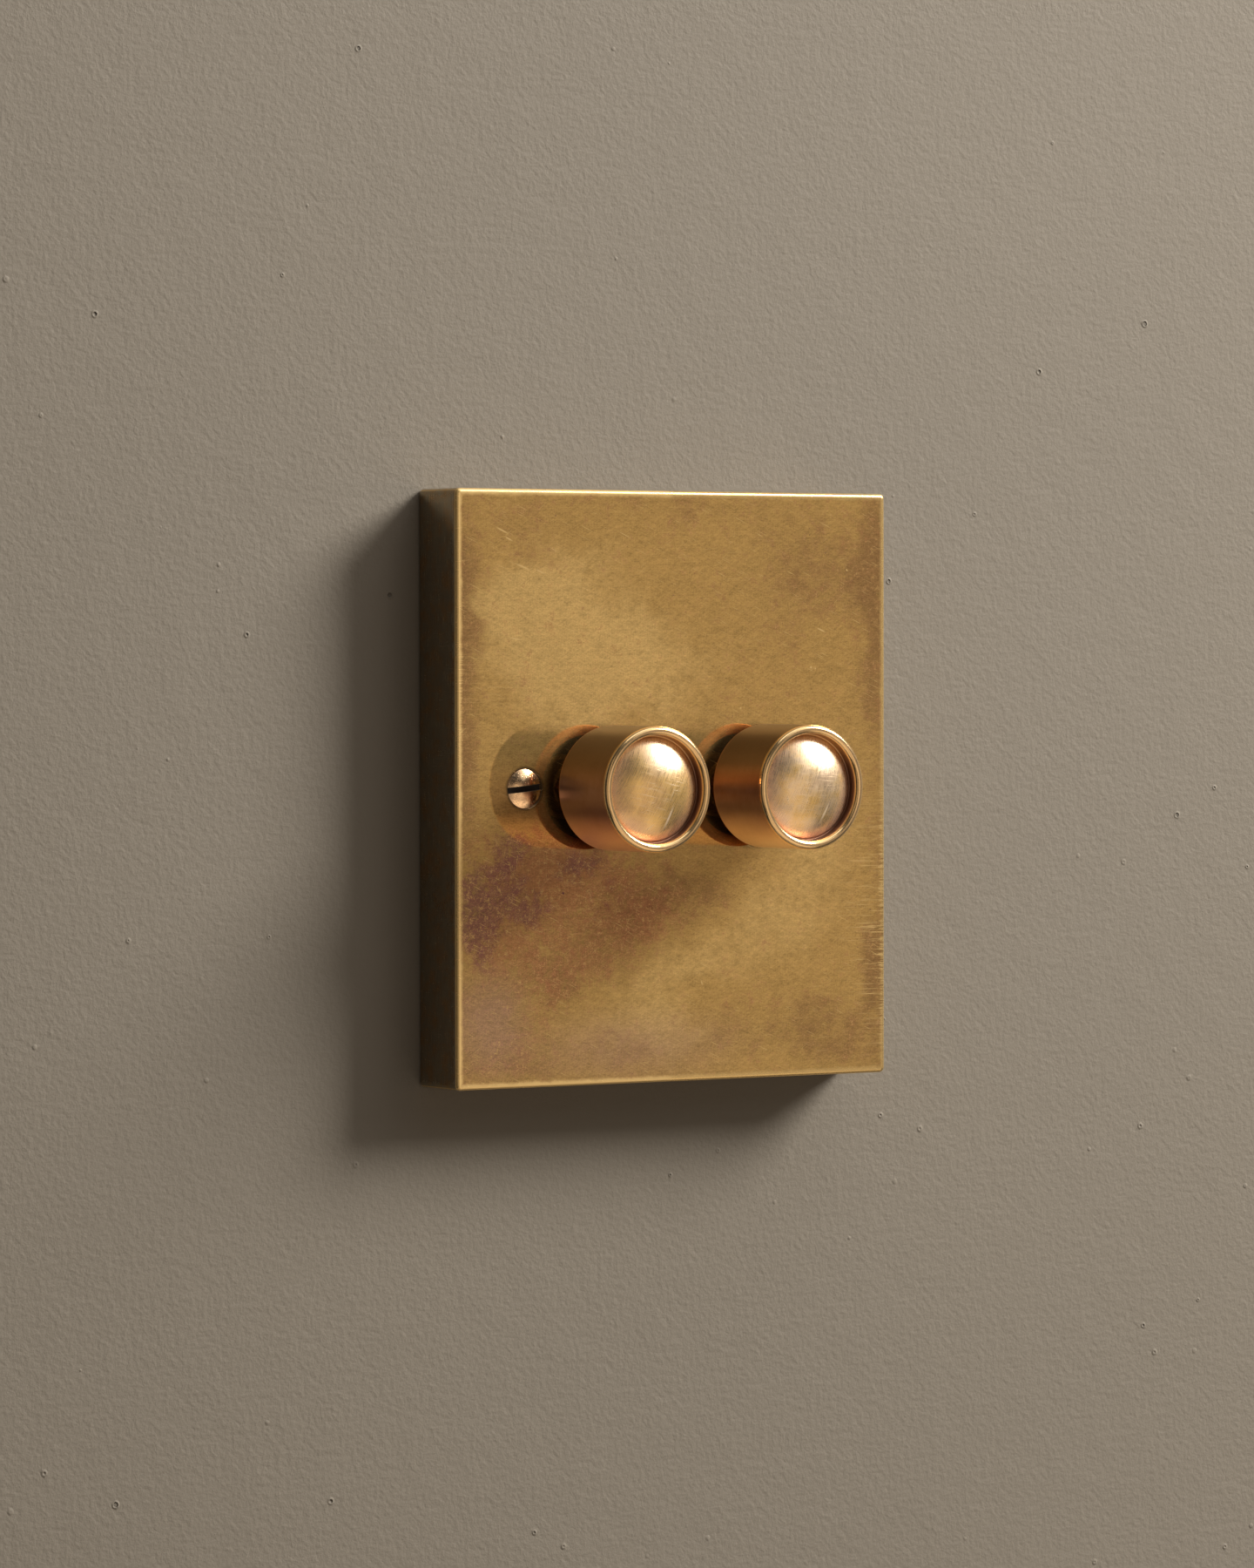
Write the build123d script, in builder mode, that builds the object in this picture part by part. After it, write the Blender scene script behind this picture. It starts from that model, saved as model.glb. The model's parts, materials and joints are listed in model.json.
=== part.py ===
"""Two-gang push-and-turn dimmer switch on a deep brass face plate, in millimetres.

The origin is the middle of the plate's back, on the wall. +X is right as seen from the front, +Y runs
into the wall and +Z is up, so the knobs point along -Y. A depth called "out" counts from the wall
towards the viewer, so pieces inside the wall box have a negative one.
"""
from build123d import *
import os

os.makedirs("parts", exist_ok=True)

# Face plate: a deep tray with its open side to the wall
plate_width = 87.0
plate_height = 100.0
plate_depth = 12.0
face_thickness = 3.0
rim_thickness = 2.5
plate_corner_radius = 0.9
plate_edge_radius = 0.7
rim_edge_radius = 0.5
tray_corner_radius = 2.0
gang_spacing = 31.0

# Fixing screws: raised countersunk heads, on the standard centres of a wall box
fixing_spacing = 60.3
fixing_thread_radius = 1.75
fixing_shank_radius = 1.4
fixing_head_radius = 3.3
fixing_head_rise = 0.8
fixing_reach = 18.0
fixing_hole_clearance = 0.3
fixing_ring = 0.2
fixing_neck = 1.0
fixing_tip_chamfer = 0.5
fixing_slot_width = 1.0
fixing_slot_depth = 1.0
fixing_slot_angles = (5.6, -14.0)

# Knobs: turned brass with a beaded lip, a groove and a low dome
knob_radius = 10.5
knob_length = 14.6
knob_gap = 3.9
knob_skirt = 1.8
knob_recess_depth = 7.0
knob_back_chamfer = 0.25
lip_width = 1.5
groove_width = 0.3
groove_depth = 2.2
dome_step = 0.2
dome_rise = 2.4

# Grip inserts that hold the knobs on their spindles
insert_radius = 5.5
insert_depth = 5.0
insert_sleeve_radius = 4.6
insert_sleeve_length = 4.0
insert_cap = 1.0
press_clearance = 0.02

# Spindles: round where they run in the bush, flatted for the knob and for the rotor
spindle_radius = 3.0
spindle_flat = 1.6
spindle_fit = 0.05
spindle_chamfer = 0.3
journal_gap = 0.3
push_travel = 1.5
neck_radius = 1.2
neck_length = 1.4
tail_radius = 1.6
tail_length = 1.2
tail_clearance = 0.1

# Bushes, washers and nuts that clamp a module to the plate
bush_radius = 5.0
bush_projection = 4.4
bush_flange_radius = 6.6
bush_flange_thickness = 1.5
bush_hole_clearance = 0.1
bush_chamfer = 0.5
nut_across_flats = 13.0
nut_thickness = 2.0
nut_clearance = 0.05
nut_chamfer = 0.3
washer_radius = 7.2
washer_thickness = 0.5

# Module cases and the aluminium plates that close them
case_width = 18.0
case_height = 44.0
case_wall = 1.0
case_corner_radius = 1.0
case_step = 10.0
heat_plate_thickness = 1.5
post_radius = 2.0
post_inset = 3.0
post_length = 7.0
case_screw_thread_radius = 1.1
case_screw_head_radius = 2.0
case_screw_length = 7.0
case_screw_slot = 0.6
case_screw_tip_gap = 0.3
screw_seat_clearance = 0.03
screw_hole_clearance = 0.2
vent_count = 4
vent_pitch = 3.4
vent_width = 1.4
vent_length = 6.0

# Potentiometers: housing, keyed rotor and resistive wafer
pot_width = 13.6
pot_depth = 6.5
pot_wall = 1.5
rotor_side_wall = 1.2
rotor_gap = 0.2
wafer_thickness = 1.5
spindle_hole_clearance = 0.2

# Push switches: housing, plunger and return spring
switch_depth = 9.0
switch_wall = 1.4
plunger_width = 9.4
plunger_thickness = 2.4
plunger_clearance = 0.2
plunger_boss_radius = 2.6
plunger_gap = 0.1
spring_radius = 3.2
spring_wire = 0.6
spring_turns = 3
spring_gap = 0.03

# Circuit boards and what they carry
board_thickness = 1.6
board_clearance = 0.15
choke_radius = 7.0
choke_bore_radius = 3.2
choke_height = 8.0
choke_edge = 1.2
choke_end_gap = 2.5
capacitor_width = 12.0
capacitor_height = 6.0
capacitor_depth = 9.0
capacitor_end_gap = 4.0
capacitor_edge = 0.5
component_gap = 2.0
triac_width = 10.0
triac_height = 7.6
triac_thickness = 4.4
triac_leg_pitch = 2.54
triac_leg_width = 0.8

# Terminals: brass blocks with a wire bore from below and a clamp screw from behind
terminal_count = 3
terminal_depth = 8.0
terminal_side_gap = 0.2
terminal_end_gap = 0.8
terminal_pin_radius = 0.6
terminal_pin_clearance = 0.15
wire_radius = 1.5
wire_setback = 3.6
clamp_thread_radius = 1.25
clamp_thread_clearance = 0.02
clamp_head_radius = 1.9
clamp_head_height = 1.8
clamp_tip_gap = 0.1
clamp_slot_width = 0.7
clamp_slot_depth = 0.8
barrier_thickness = 0.8
barrier_overhang = 1.0

# Earth terminal: a drilled brass block on the floor of the tray, above the modules
earth_width = 8.0
earth_length = 10.0
earth_gap = 2.5
earth_wire_radius = 1.7
earth_wire_setback = 3.4
earth_thread_radius = 1.75
earth_head_radius = 3.2
earth_head_height = 2.0

# Depths worked out from the sizes above, counted from the wall
tray_floor = plate_depth - face_thickness
heat_plate_back = tray_floor - heat_plate_thickness
flange_back = heat_plate_back - bush_flange_thickness
pot_back = flange_back - pot_depth
wafer_back = pot_back - wafer_thickness
switch_back = wafer_back - switch_depth
board_back = switch_back - board_thickness
ledge_back = board_back - case_wall
terminal_back = ledge_back - terminal_depth
case_back = board_back - max(choke_height, capacitor_depth) - component_gap - case_wall
knob_back = plate_depth + knob_gap
insert_seat = knob_back + knob_recess_depth
insert_back = insert_seat - insert_sleeve_length
spindle_front = insert_seat + insert_depth - insert_cap
journal_front = insert_back - journal_gap
rotor_front = flange_back - pot_wall - rotor_gap
rotor_back = pot_back + rotor_gap
journal_back = rotor_front + push_travel + journal_gap
spindle_heel = rotor_back - journal_gap
tail_front = spindle_heel - neck_length
plunger_front = spindle_heel - plunger_gap
plunger_flange_front = wafer_back - plunger_clearance
plunger_back = plunger_flange_front - plunger_thickness
spring_floor = switch_back + switch_wall

# Places worked out from the sizes above
gangs = {"left": -gang_spacing / 2, "right": gang_spacing / 2}
fixing_places = (-fixing_spacing / 2, fixing_spacing / 2)
fixing_sink = fixing_ring - screw_seat_clearance
bush_hole_radius = bush_radius + bush_hole_clearance
spindle_hole_radius = spindle_radius + spindle_hole_clearance
post_height = case_height / 2 - post_inset
case_step_height = -case_height / 2 + case_step
terminal_height = -case_height / 2 + case_step / 2
terminal_length = case_step - 2 * terminal_end_gap
terminal_pitch = (case_width - 2 * case_wall) / terminal_count
terminal_width = terminal_pitch - barrier_thickness - 2 * terminal_side_gap
wire_out = ledge_back - wire_setback
choke_height_up = case_height / 2 - case_wall - choke_end_gap - choke_radius
capacitor_height_up = case_step_height + case_wall + capacitor_end_gap + capacitor_height / 2
triac_height_up = -(pot_width / 2 + post_height - post_radius) / 2
earth_height = case_height / 2 + earth_gap + earth_width / 2
earth_back = tray_floor - earth_length
earth_wire_out = tray_floor - earth_wire_setback


def facing(x, out, z=0.0):
    """A plane parallel to the plate that faces the viewer: local X is right and local Y is up."""
    return Plane(origin=(x, -out, z), x_dir=(1, 0, 0), z_dir=(0, -1, 0))


def half_section(x, out=0.0, z=0.0):
    """A level plane through a front-to-back axis: local X is the radius and local Y is out."""
    return Plane(origin=(x, -out, z), x_dir=(1, 0, 0), z_dir=(0, 0, -1))


def side_view(x):
    """An upright plane seen from the side: local X is out, local Y is up, and it faces left."""
    return Plane(origin=(x, 0, 0), x_dir=(0, -1, 0), z_dir=(-1, 0, 0))


def turning_axis(x, z=0.0):
    return Axis((x, 0, z), (0, -1, 0))


def flatted_circle(radius, flat):
    """A circle cut off level at the given height above its middle."""
    Circle(radius)
    with Locations((0, flat)):
        Rectangle(2 * radius, radius, align=(Align.CENTER, Align.MIN), mode=Mode.SUBTRACT)


def save(piece, name):
    piece.part.label = name
    export_step(piece.part, f"parts/{name}.step")


def make_face_plate():
    with BuildPart() as face_plate:
        with BuildSketch(facing(0, 0)):
            RectangleRounded(plate_width, plate_height, plate_corner_radius)
        extrude(amount=plate_depth)
        fillet(face_plate.faces().sort_by(Axis.Y)[0].edges(), plate_edge_radius)
        fillet(face_plate.faces().sort_by(Axis.Y)[-1].edges(), rim_edge_radius)
        with BuildSketch(facing(0, 0)):
            RectangleRounded(
                plate_width - 2 * rim_thickness, plate_height - 2 * rim_thickness, tray_corner_radius
            )
        extrude(amount=tray_floor, mode=Mode.SUBTRACT)
        with BuildSketch(facing(0, tray_floor)):
            with Locations(*[(x, 0) for x in gangs.values()]):
                Circle(bush_hole_radius)
        extrude(amount=face_thickness, mode=Mode.SUBTRACT)
        with Locations(*[facing(x, plate_depth) for x in fixing_places]):
            CounterSinkHole(
                fixing_thread_radius + fixing_hole_clearance,
                fixing_head_radius + fixing_ring,
                face_thickness,
                counter_sink_angle=90,
            )
    save(face_plate, "face_plate")


def make_fixing_screws():
    head_rim = plate_depth - fixing_sink
    cone_foot = head_rim - (fixing_head_radius - fixing_shank_radius)
    thread_start = tray_floor - fixing_neck
    head_top = head_rim + fixing_head_rise
    with BuildPart() as fixing_screws:
        for x, slot_angle in zip(fixing_places, fixing_slot_angles):
            with BuildSketch(half_section(x)):
                with BuildLine():
                    Polyline(
                        (0, head_top),
                        (0, -fixing_reach),
                        (fixing_thread_radius - fixing_tip_chamfer, -fixing_reach),
                        (fixing_thread_radius, fixing_tip_chamfer - fixing_reach),
                        (fixing_thread_radius, thread_start),
                        (fixing_shank_radius, thread_start),
                        (fixing_shank_radius, cone_foot),
                        (fixing_head_radius, head_rim),
                    )
                    TangentArc((0, head_top), (fixing_head_radius, head_rim), tangent=(1, 0))
                make_face()
            revolve(axis=turning_axis(x))
            with BuildSketch(facing(x, head_top)):
                Rectangle(2 * fixing_head_radius, fixing_slot_width, rotation=slot_angle)
            extrude(amount=-fixing_slot_depth, mode=Mode.SUBTRACT)
    save(fixing_screws, "fixing_screws")


def make_earth_terminal():
    with BuildPart() as earth_terminal:
        with BuildSketch(facing(0, earth_back, earth_height)):
            Rectangle(earth_width, earth_width)
        extrude(amount=earth_length)
        with BuildSketch(Plane(origin=(0, -earth_wire_out, earth_height))):
            Circle(earth_wire_radius)
        extrude(amount=earth_width / 2, both=True, mode=Mode.SUBTRACT)
        with BuildSketch(facing(0, earth_back, earth_height)):
            Circle(earth_thread_radius + clamp_thread_clearance)
        extrude(amount=earth_wire_out - earth_back, mode=Mode.SUBTRACT)
    save(earth_terminal, "earth_terminal")


def make_earth_screw():
    tip = earth_wire_out - earth_wire_radius - clamp_tip_gap
    with BuildPart() as earth_screw:
        with BuildSketch(facing(0, earth_back, earth_height)):
            Circle(earth_thread_radius)
        extrude(amount=tip - earth_back)
        with BuildSketch(facing(0, earth_back, earth_height)):
            Circle(earth_head_radius)
        extrude(amount=-earth_head_height)
        with BuildSketch(facing(0, earth_back - earth_head_height, earth_height)):
            Rectangle(2 * earth_head_radius, fixing_slot_width)
        extrude(amount=fixing_slot_depth, mode=Mode.SUBTRACT)
    save(earth_screw, "earth_screw")


def make_knob(side, x):
    recess_radius = knob_radius - knob_skirt
    insert_end = knob_recess_depth + insert_depth
    bead_radius = lip_width / 2
    bead_start = knob_length - bead_radius
    lip_inside = knob_radius - lip_width
    dome_radius = lip_inside - groove_width
    groove_floor = knob_length - groove_depth
    dome_edge = groove_floor + dome_step
    dome_top = dome_edge + dome_rise
    with BuildPart() as knob:
        with BuildSketch(half_section(x, knob_back)):
            with BuildLine():
                Polyline(
                    (0, dome_top),
                    (0, insert_end),
                    (insert_radius, insert_end),
                    (insert_radius, knob_recess_depth),
                    (recess_radius, knob_recess_depth),
                    (recess_radius, 0),
                    (knob_radius - knob_back_chamfer, 0),
                    (knob_radius, knob_back_chamfer),
                    (knob_radius, bead_start),
                )
                ThreePointArc(
                    (knob_radius, bead_start),
                    (knob_radius - bead_radius, knob_length),
                    (lip_inside, bead_start),
                )
                Polyline(
                    (lip_inside, bead_start),
                    (lip_inside, groove_floor),
                    (dome_radius, groove_floor),
                    (dome_radius, dome_edge),
                )
                TangentArc((0, dome_top), (dome_radius, dome_edge), tangent=(1, 0))
            make_face()
        revolve(axis=turning_axis(x))
    save(knob, f"{side}_knob")


def make_knob_insert(side, x):
    with BuildPart() as knob_insert:
        with BuildSketch(facing(x, insert_seat)):
            Circle(insert_radius - press_clearance)
        extrude(amount=insert_depth)
        with BuildSketch(facing(x, insert_back)):
            Circle(insert_sleeve_radius)
        extrude(amount=insert_sleeve_length)
        with BuildSketch(facing(x, insert_back)):
            flatted_circle(spindle_radius + press_clearance, spindle_flat + press_clearance)
        extrude(amount=spindle_front - insert_back, mode=Mode.SUBTRACT)
    save(knob_insert, f"{side}_knob_insert")


def make_spindle(side, x):
    with BuildPart() as spindle:
        with BuildSketch(facing(x, journal_back)):
            Circle(spindle_radius)
        extrude(amount=journal_front - journal_back)
        with BuildSketch(facing(x, journal_front)):
            flatted_circle(spindle_radius, spindle_flat)
        extrude(amount=spindle_front - journal_front)
        chamfer(spindle.faces().sort_by(Axis.Y)[0].edges(), spindle_chamfer)
        with BuildSketch(facing(x, spindle_heel)):
            flatted_circle(spindle_radius, spindle_flat)
        extrude(amount=journal_back - spindle_heel)
        with BuildSketch(facing(x, tail_front)):
            Circle(neck_radius)
        extrude(amount=neck_length)
        with BuildSketch(facing(x, tail_front)):
            Circle(tail_radius)
        extrude(amount=-tail_length)
    save(spindle, f"{side}_spindle")


def make_bush(side, x):
    bore = spindle_radius + spindle_fit
    front = plate_depth + bush_projection
    with BuildPart() as bush:
        with BuildSketch(half_section(x)):
            with BuildLine():
                Polyline(
                    (bore, flange_back),
                    (bush_flange_radius, flange_back),
                    (bush_flange_radius, heat_plate_back),
                    (bush_radius, heat_plate_back),
                    (bush_radius, front - bush_chamfer),
                    (bush_radius - bush_chamfer, front),
                    (bore, front),
                    close=True,
                )
            make_face()
        revolve(axis=turning_axis(x))
    save(bush, f"{side}_bush")


def make_washer(side, x):
    with BuildPart() as washer:
        with BuildSketch(facing(x, plate_depth)):
            Circle(washer_radius)
            Circle(bush_hole_radius, mode=Mode.SUBTRACT)
        extrude(amount=washer_thickness)
    save(washer, f"{side}_washer")


def make_nut(side, x):
    with BuildPart() as nut:
        with BuildSketch(facing(x, plate_depth + washer_thickness)):
            RegularPolygon(nut_across_flats / 2, 6, major_radius=False)
        extrude(amount=nut_thickness)
        chamfer(nut.faces().sort_by(Axis.Y)[0].edges(), nut_chamfer)
        with BuildSketch(facing(x, plate_depth + washer_thickness)):
            Circle(bush_radius + nut_clearance)
        extrude(amount=nut_thickness, mode=Mode.SUBTRACT)
    save(nut, f"{side}_nut")


def make_heat_plate(side, x):
    with BuildPart() as heat_plate:
        with BuildSketch(facing(x, heat_plate_back)):
            RectangleRounded(case_width, case_height, case_corner_radius)
            Circle(bush_hole_radius, mode=Mode.SUBTRACT)
        extrude(amount=heat_plate_thickness)
        with Locations(*[facing(x, tray_floor, z) for z in (post_height, -post_height)]):
            CounterSinkHole(
                case_screw_thread_radius + screw_hole_clearance,
                case_screw_head_radius + screw_seat_clearance,
                heat_plate_thickness,
                counter_sink_angle=90,
            )
    save(heat_plate, f"{side}_heat_plate")


def make_case(side, x):
    half_height = case_height / 2
    inside_height = half_height - case_wall
    barrier_reach = ledge_back - terminal_back + barrier_overhang
    cheek_place = (case_width - case_wall) / 2
    pilot_depth = case_screw_length - heat_plate_thickness + case_screw_tip_gap
    barrier_places = [(n - (terminal_count - 2) / 2) * terminal_pitch for n in range(terminal_count - 1)]
    with BuildPart() as case:
        with BuildSketch(side_view(x + case_width / 2)):
            with BuildLine():
                Polyline(
                    (heat_plate_back, -half_height),
                    (heat_plate_back, half_height),
                    (case_back, half_height),
                    (case_back, case_step_height),
                    (ledge_back, case_step_height),
                    (ledge_back, -half_height),
                    close=True,
                )
            make_face()
        extrude(amount=case_width)
        fillet(case.edges().filter_by(Axis.Y).group_by(Axis.Z)[-1], case_corner_radius)
        fillet(case.faces().sort_by(Axis.Y)[-1].edges(), case_corner_radius / 2)
        with BuildSketch(side_view(x + case_width / 2 - case_wall)):
            with BuildLine():
                Polyline(
                    (heat_plate_back, -inside_height),
                    (heat_plate_back, inside_height),
                    (case_back + case_wall, inside_height),
                    (case_back + case_wall, case_step_height + case_wall),
                    (board_back, case_step_height + case_wall),
                    (board_back, -inside_height),
                    close=True,
                )
            make_face()
        extrude(amount=case_width - 2 * case_wall, mode=Mode.SUBTRACT)
        with BuildSketch(facing(x, ledge_back, terminal_height)):
            with Locations(*[(place, 0) for place in barrier_places]):
                Rectangle(barrier_thickness, case_step)
            with Locations((-cheek_place, 0), (cheek_place, 0)):
                Rectangle(case_wall, case_step)
        extrude(amount=-barrier_reach)
        with BuildSketch(facing(x, heat_plate_back)):
            with Locations((0, post_height), (0, -post_height)):
                Circle(post_radius)
            with Locations((0, half_height - case_wall - post_inset / 2)):
                Rectangle(2 * post_radius, post_inset)
            with Locations((0, post_inset / 2 + case_wall - half_height)):
                Rectangle(2 * post_radius, post_inset)
        extrude(amount=-post_length)
        with BuildSketch(facing(x, heat_plate_back)):
            with Locations((0, post_height), (0, -post_height)):
                Circle(case_screw_thread_radius + press_clearance)
        extrude(amount=-pilot_depth, mode=Mode.SUBTRACT)
        with BuildSketch(facing(x, ledge_back, terminal_height)):
            with GridLocations(terminal_pitch, 1, terminal_count, 1):
                Circle(terminal_pin_radius + terminal_pin_clearance)
        extrude(amount=case_wall, mode=Mode.SUBTRACT)
        with BuildSketch(Plane(origin=(x, -(board_back + case_back + case_wall) / 2, half_height))):
            with GridLocations(vent_pitch, 1, vent_count, 1):
                SlotOverall(vent_length, vent_width, rotation=90)
        extrude(amount=-case_wall, mode=Mode.SUBTRACT)
    save(case, f"{side}_case")


def make_case_screws(side, x):
    cone_foot = tray_floor - (case_screw_head_radius - case_screw_thread_radius)
    tip = tray_floor - case_screw_length
    with BuildPart() as case_screws:
        for z in (post_height, -post_height):
            with BuildSketch(half_section(x, 0, z)):
                with BuildLine():
                    Polyline(
                        (0, tray_floor),
                        (0, tip),
                        (case_screw_thread_radius, tip),
                        (case_screw_thread_radius, cone_foot),
                        (case_screw_head_radius, tray_floor),
                        close=True,
                    )
                make_face()
            revolve(axis=turning_axis(x, z))
            with BuildSketch(facing(x, tray_floor, z)):
                Rectangle(2 * case_screw_head_radius, case_screw_slot)
            extrude(amount=-case_screw_slot, mode=Mode.SUBTRACT)
    save(case_screws, f"{side}_case_screws")


def make_pot_body(side, x):
    with BuildPart() as pot_body:
        with BuildSketch(facing(x, pot_back)):
            Rectangle(pot_width, pot_width)
        extrude(amount=pot_depth)
        with BuildSketch(facing(x, pot_back)):
            Circle(pot_width / 2 - rotor_side_wall)
        extrude(amount=pot_depth - pot_wall, mode=Mode.SUBTRACT)
        with BuildSketch(facing(x, pot_back)):
            Circle(spindle_hole_radius)
        extrude(amount=pot_depth, mode=Mode.SUBTRACT)
    save(pot_body, f"{side}_pot_body")


def make_pot_rotor(side, x):
    with BuildPart() as pot_rotor:
        with BuildSketch(facing(x, rotor_back)):
            Circle(pot_width / 2 - rotor_side_wall - rotor_gap)
        extrude(amount=rotor_front - rotor_back)
        with BuildSketch(facing(x, rotor_back)):
            flatted_circle(spindle_radius + spindle_fit, spindle_flat + spindle_fit)
        extrude(amount=rotor_front - rotor_back, mode=Mode.SUBTRACT)
    save(pot_rotor, f"{side}_pot_rotor")


def make_pot_wafer(side, x):
    with BuildPart() as pot_wafer:
        with BuildSketch(facing(x, wafer_back)):
            Rectangle(pot_width, pot_width)
            Circle(spindle_hole_radius, mode=Mode.SUBTRACT)
        extrude(amount=wafer_thickness)
    save(pot_wafer, f"{side}_pot_wafer")


def make_switch_body(side, x):
    channel = plunger_width + 2 * plunger_clearance
    with BuildPart() as switch_body:
        with BuildSketch(facing(x, switch_back)):
            Rectangle(pot_width, pot_width)
        extrude(amount=switch_depth)
        with BuildSketch(facing(x, spring_floor)):
            Rectangle(channel, channel)
        extrude(amount=switch_depth - switch_wall, mode=Mode.SUBTRACT)
    save(switch_body, f"{side}_switch_body")


def make_switch_plunger(side, x):
    pocket_front = tail_front + tail_clearance
    pocket_depth = tail_length + 2 * tail_clearance
    with BuildPart() as switch_plunger:
        with BuildSketch(facing(x, plunger_back)):
            Rectangle(plunger_width, plunger_width)
        extrude(amount=plunger_thickness)
        with BuildSketch(facing(x, plunger_flange_front)):
            Circle(plunger_boss_radius)
        extrude(amount=plunger_front - plunger_flange_front)
        with BuildSketch(facing(x, plunger_front)):
            Circle(neck_radius + tail_clearance)
        extrude(amount=pocket_front - plunger_front, mode=Mode.SUBTRACT)
        with BuildSketch(facing(x, pocket_front)):
            Circle(tail_radius + tail_clearance)
        extrude(amount=-pocket_depth, mode=Mode.SUBTRACT)
    save(switch_plunger, f"{side}_switch_plunger")


def make_return_spring(side, x):
    end_space = spring_wire / 2 + spring_gap
    coil_height = plunger_back - spring_floor - 2 * end_space
    with BuildPart() as return_spring:
        with BuildLine() as coil:
            Helix(
                coil_height / spring_turns,
                coil_height,
                spring_radius,
                center=(x, -(spring_floor + end_space), 0),
                direction=(0, -1, 0),
            )
        with BuildSketch(Plane(origin=coil.line @ 0, x_dir=(1, 0, 0), z_dir=coil.line % 0)):
            Rectangle(spring_wire, spring_wire)
        sweep(path=coil.line, is_frenet=True)
    save(return_spring, f"{side}_return_spring")


def make_circuit_board(side, x):
    margin = case_wall + board_clearance
    with BuildPart() as circuit_board:
        with BuildSketch(facing(x, board_back)):
            Rectangle(case_width - 2 * margin, case_height - 2 * margin)
        extrude(amount=board_thickness)
    save(circuit_board, f"{side}_circuit_board")


def make_choke(side, x):
    with BuildPart() as choke:
        with BuildSketch(facing(x, board_back, choke_height_up)):
            Circle(choke_radius)
            Circle(choke_bore_radius, mode=Mode.SUBTRACT)
        extrude(amount=-choke_height)
        chamfer(choke.edges().filter_by(GeomType.CIRCLE), choke_edge)
    save(choke, f"{side}_choke")


def make_capacitor(side, x):
    with BuildPart() as capacitor:
        with BuildSketch(facing(x, board_back, capacitor_height_up)):
            Rectangle(capacitor_width, capacitor_height)
        extrude(amount=-capacitor_depth)
        chamfer(capacitor.faces().sort_by(Axis.Y)[-1].edges(), capacitor_edge)
    save(capacitor, f"{side}_capacitor")


def make_triac(side, x):
    triac_back = heat_plate_back - triac_thickness
    with BuildPart() as triac:
        with BuildSketch(facing(x, triac_back, triac_height_up)):
            Rectangle(triac_width, triac_height)
        extrude(amount=triac_thickness)
        with BuildSketch(facing(x, switch_back, triac_height_up)):
            with GridLocations(triac_leg_pitch, 1, 3, 1):
                Rectangle(triac_leg_width, triac_leg_width)
        extrude(amount=triac_back - switch_back)
    save(triac, f"{side}_triac")


def make_terminals(side, x):
    with BuildPart() as terminals:
        with BuildSketch(facing(x, ledge_back, terminal_height)):
            with GridLocations(terminal_pitch, 1, terminal_count, 1):
                Rectangle(terminal_width, terminal_length)
        extrude(amount=-terminal_depth)
        with BuildSketch(facing(x, ledge_back, terminal_height)):
            with GridLocations(terminal_pitch, 1, terminal_count, 1):
                Circle(terminal_pin_radius)
        extrude(amount=case_wall)
        with BuildSketch(Plane(origin=(x, -wire_out, terminal_height))):
            with GridLocations(terminal_pitch, 1, terminal_count, 1):
                Circle(wire_radius)
        extrude(amount=terminal_length / 2, both=True, mode=Mode.SUBTRACT)
        with BuildSketch(facing(x, terminal_back, terminal_height)):
            with GridLocations(terminal_pitch, 1, terminal_count, 1):
                Circle(clamp_thread_radius + clamp_thread_clearance)
        extrude(amount=wire_out - terminal_back, mode=Mode.SUBTRACT)
    save(terminals, f"{side}_terminals")


def make_terminal_screws(side, x):
    tip = wire_out - wire_radius - clamp_tip_gap
    with BuildPart() as terminal_screws:
        with BuildSketch(facing(x, terminal_back, terminal_height)):
            with GridLocations(terminal_pitch, 1, terminal_count, 1):
                Circle(clamp_thread_radius)
        extrude(amount=tip - terminal_back)
        with BuildSketch(facing(x, terminal_back, terminal_height)):
            with GridLocations(terminal_pitch, 1, terminal_count, 1):
                Circle(clamp_head_radius)
        extrude(amount=-clamp_head_height)
        with BuildSketch(facing(x, terminal_back - clamp_head_height, terminal_height)):
            with GridLocations(terminal_pitch, 1, terminal_count, 1):
                Rectangle(2 * clamp_head_radius, clamp_slot_width)
        extrude(amount=clamp_slot_depth, mode=Mode.SUBTRACT)
    save(terminal_screws, f"{side}_terminal_screws")


make_face_plate()
make_fixing_screws()
make_earth_terminal()
make_earth_screw()
gang_makers = (
    make_knob,
    make_knob_insert,
    make_spindle,
    make_bush,
    make_washer,
    make_nut,
    make_heat_plate,
    make_case,
    make_case_screws,
    make_pot_body,
    make_pot_rotor,
    make_pot_wafer,
    make_switch_body,
    make_switch_plunger,
    make_return_spring,
    make_circuit_board,
    make_choke,
    make_capacitor,
    make_triac,
    make_terminals,
    make_terminal_screws,
)
for side, x in gangs.items():
    for make_piece in gang_makers:
        make_piece(side, x)
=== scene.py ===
"""Dresses the packed two-gang dimmer switch in aged brass and sets it on a wall.

The packed frame is loaded first and stays as it is. Each operator makes one piece or a group of like
pieces, in metres in the frame of the part. Profiles and finishes are written in millimetres, and a depth
called "out" counts from the wall towards the viewer.
"""
import json
import math

import bmesh
import bpy
from bpy.props import FloatProperty, FloatVectorProperty, IntProperty, PointerProperty
from mathutils import Matrix, Vector


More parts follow.
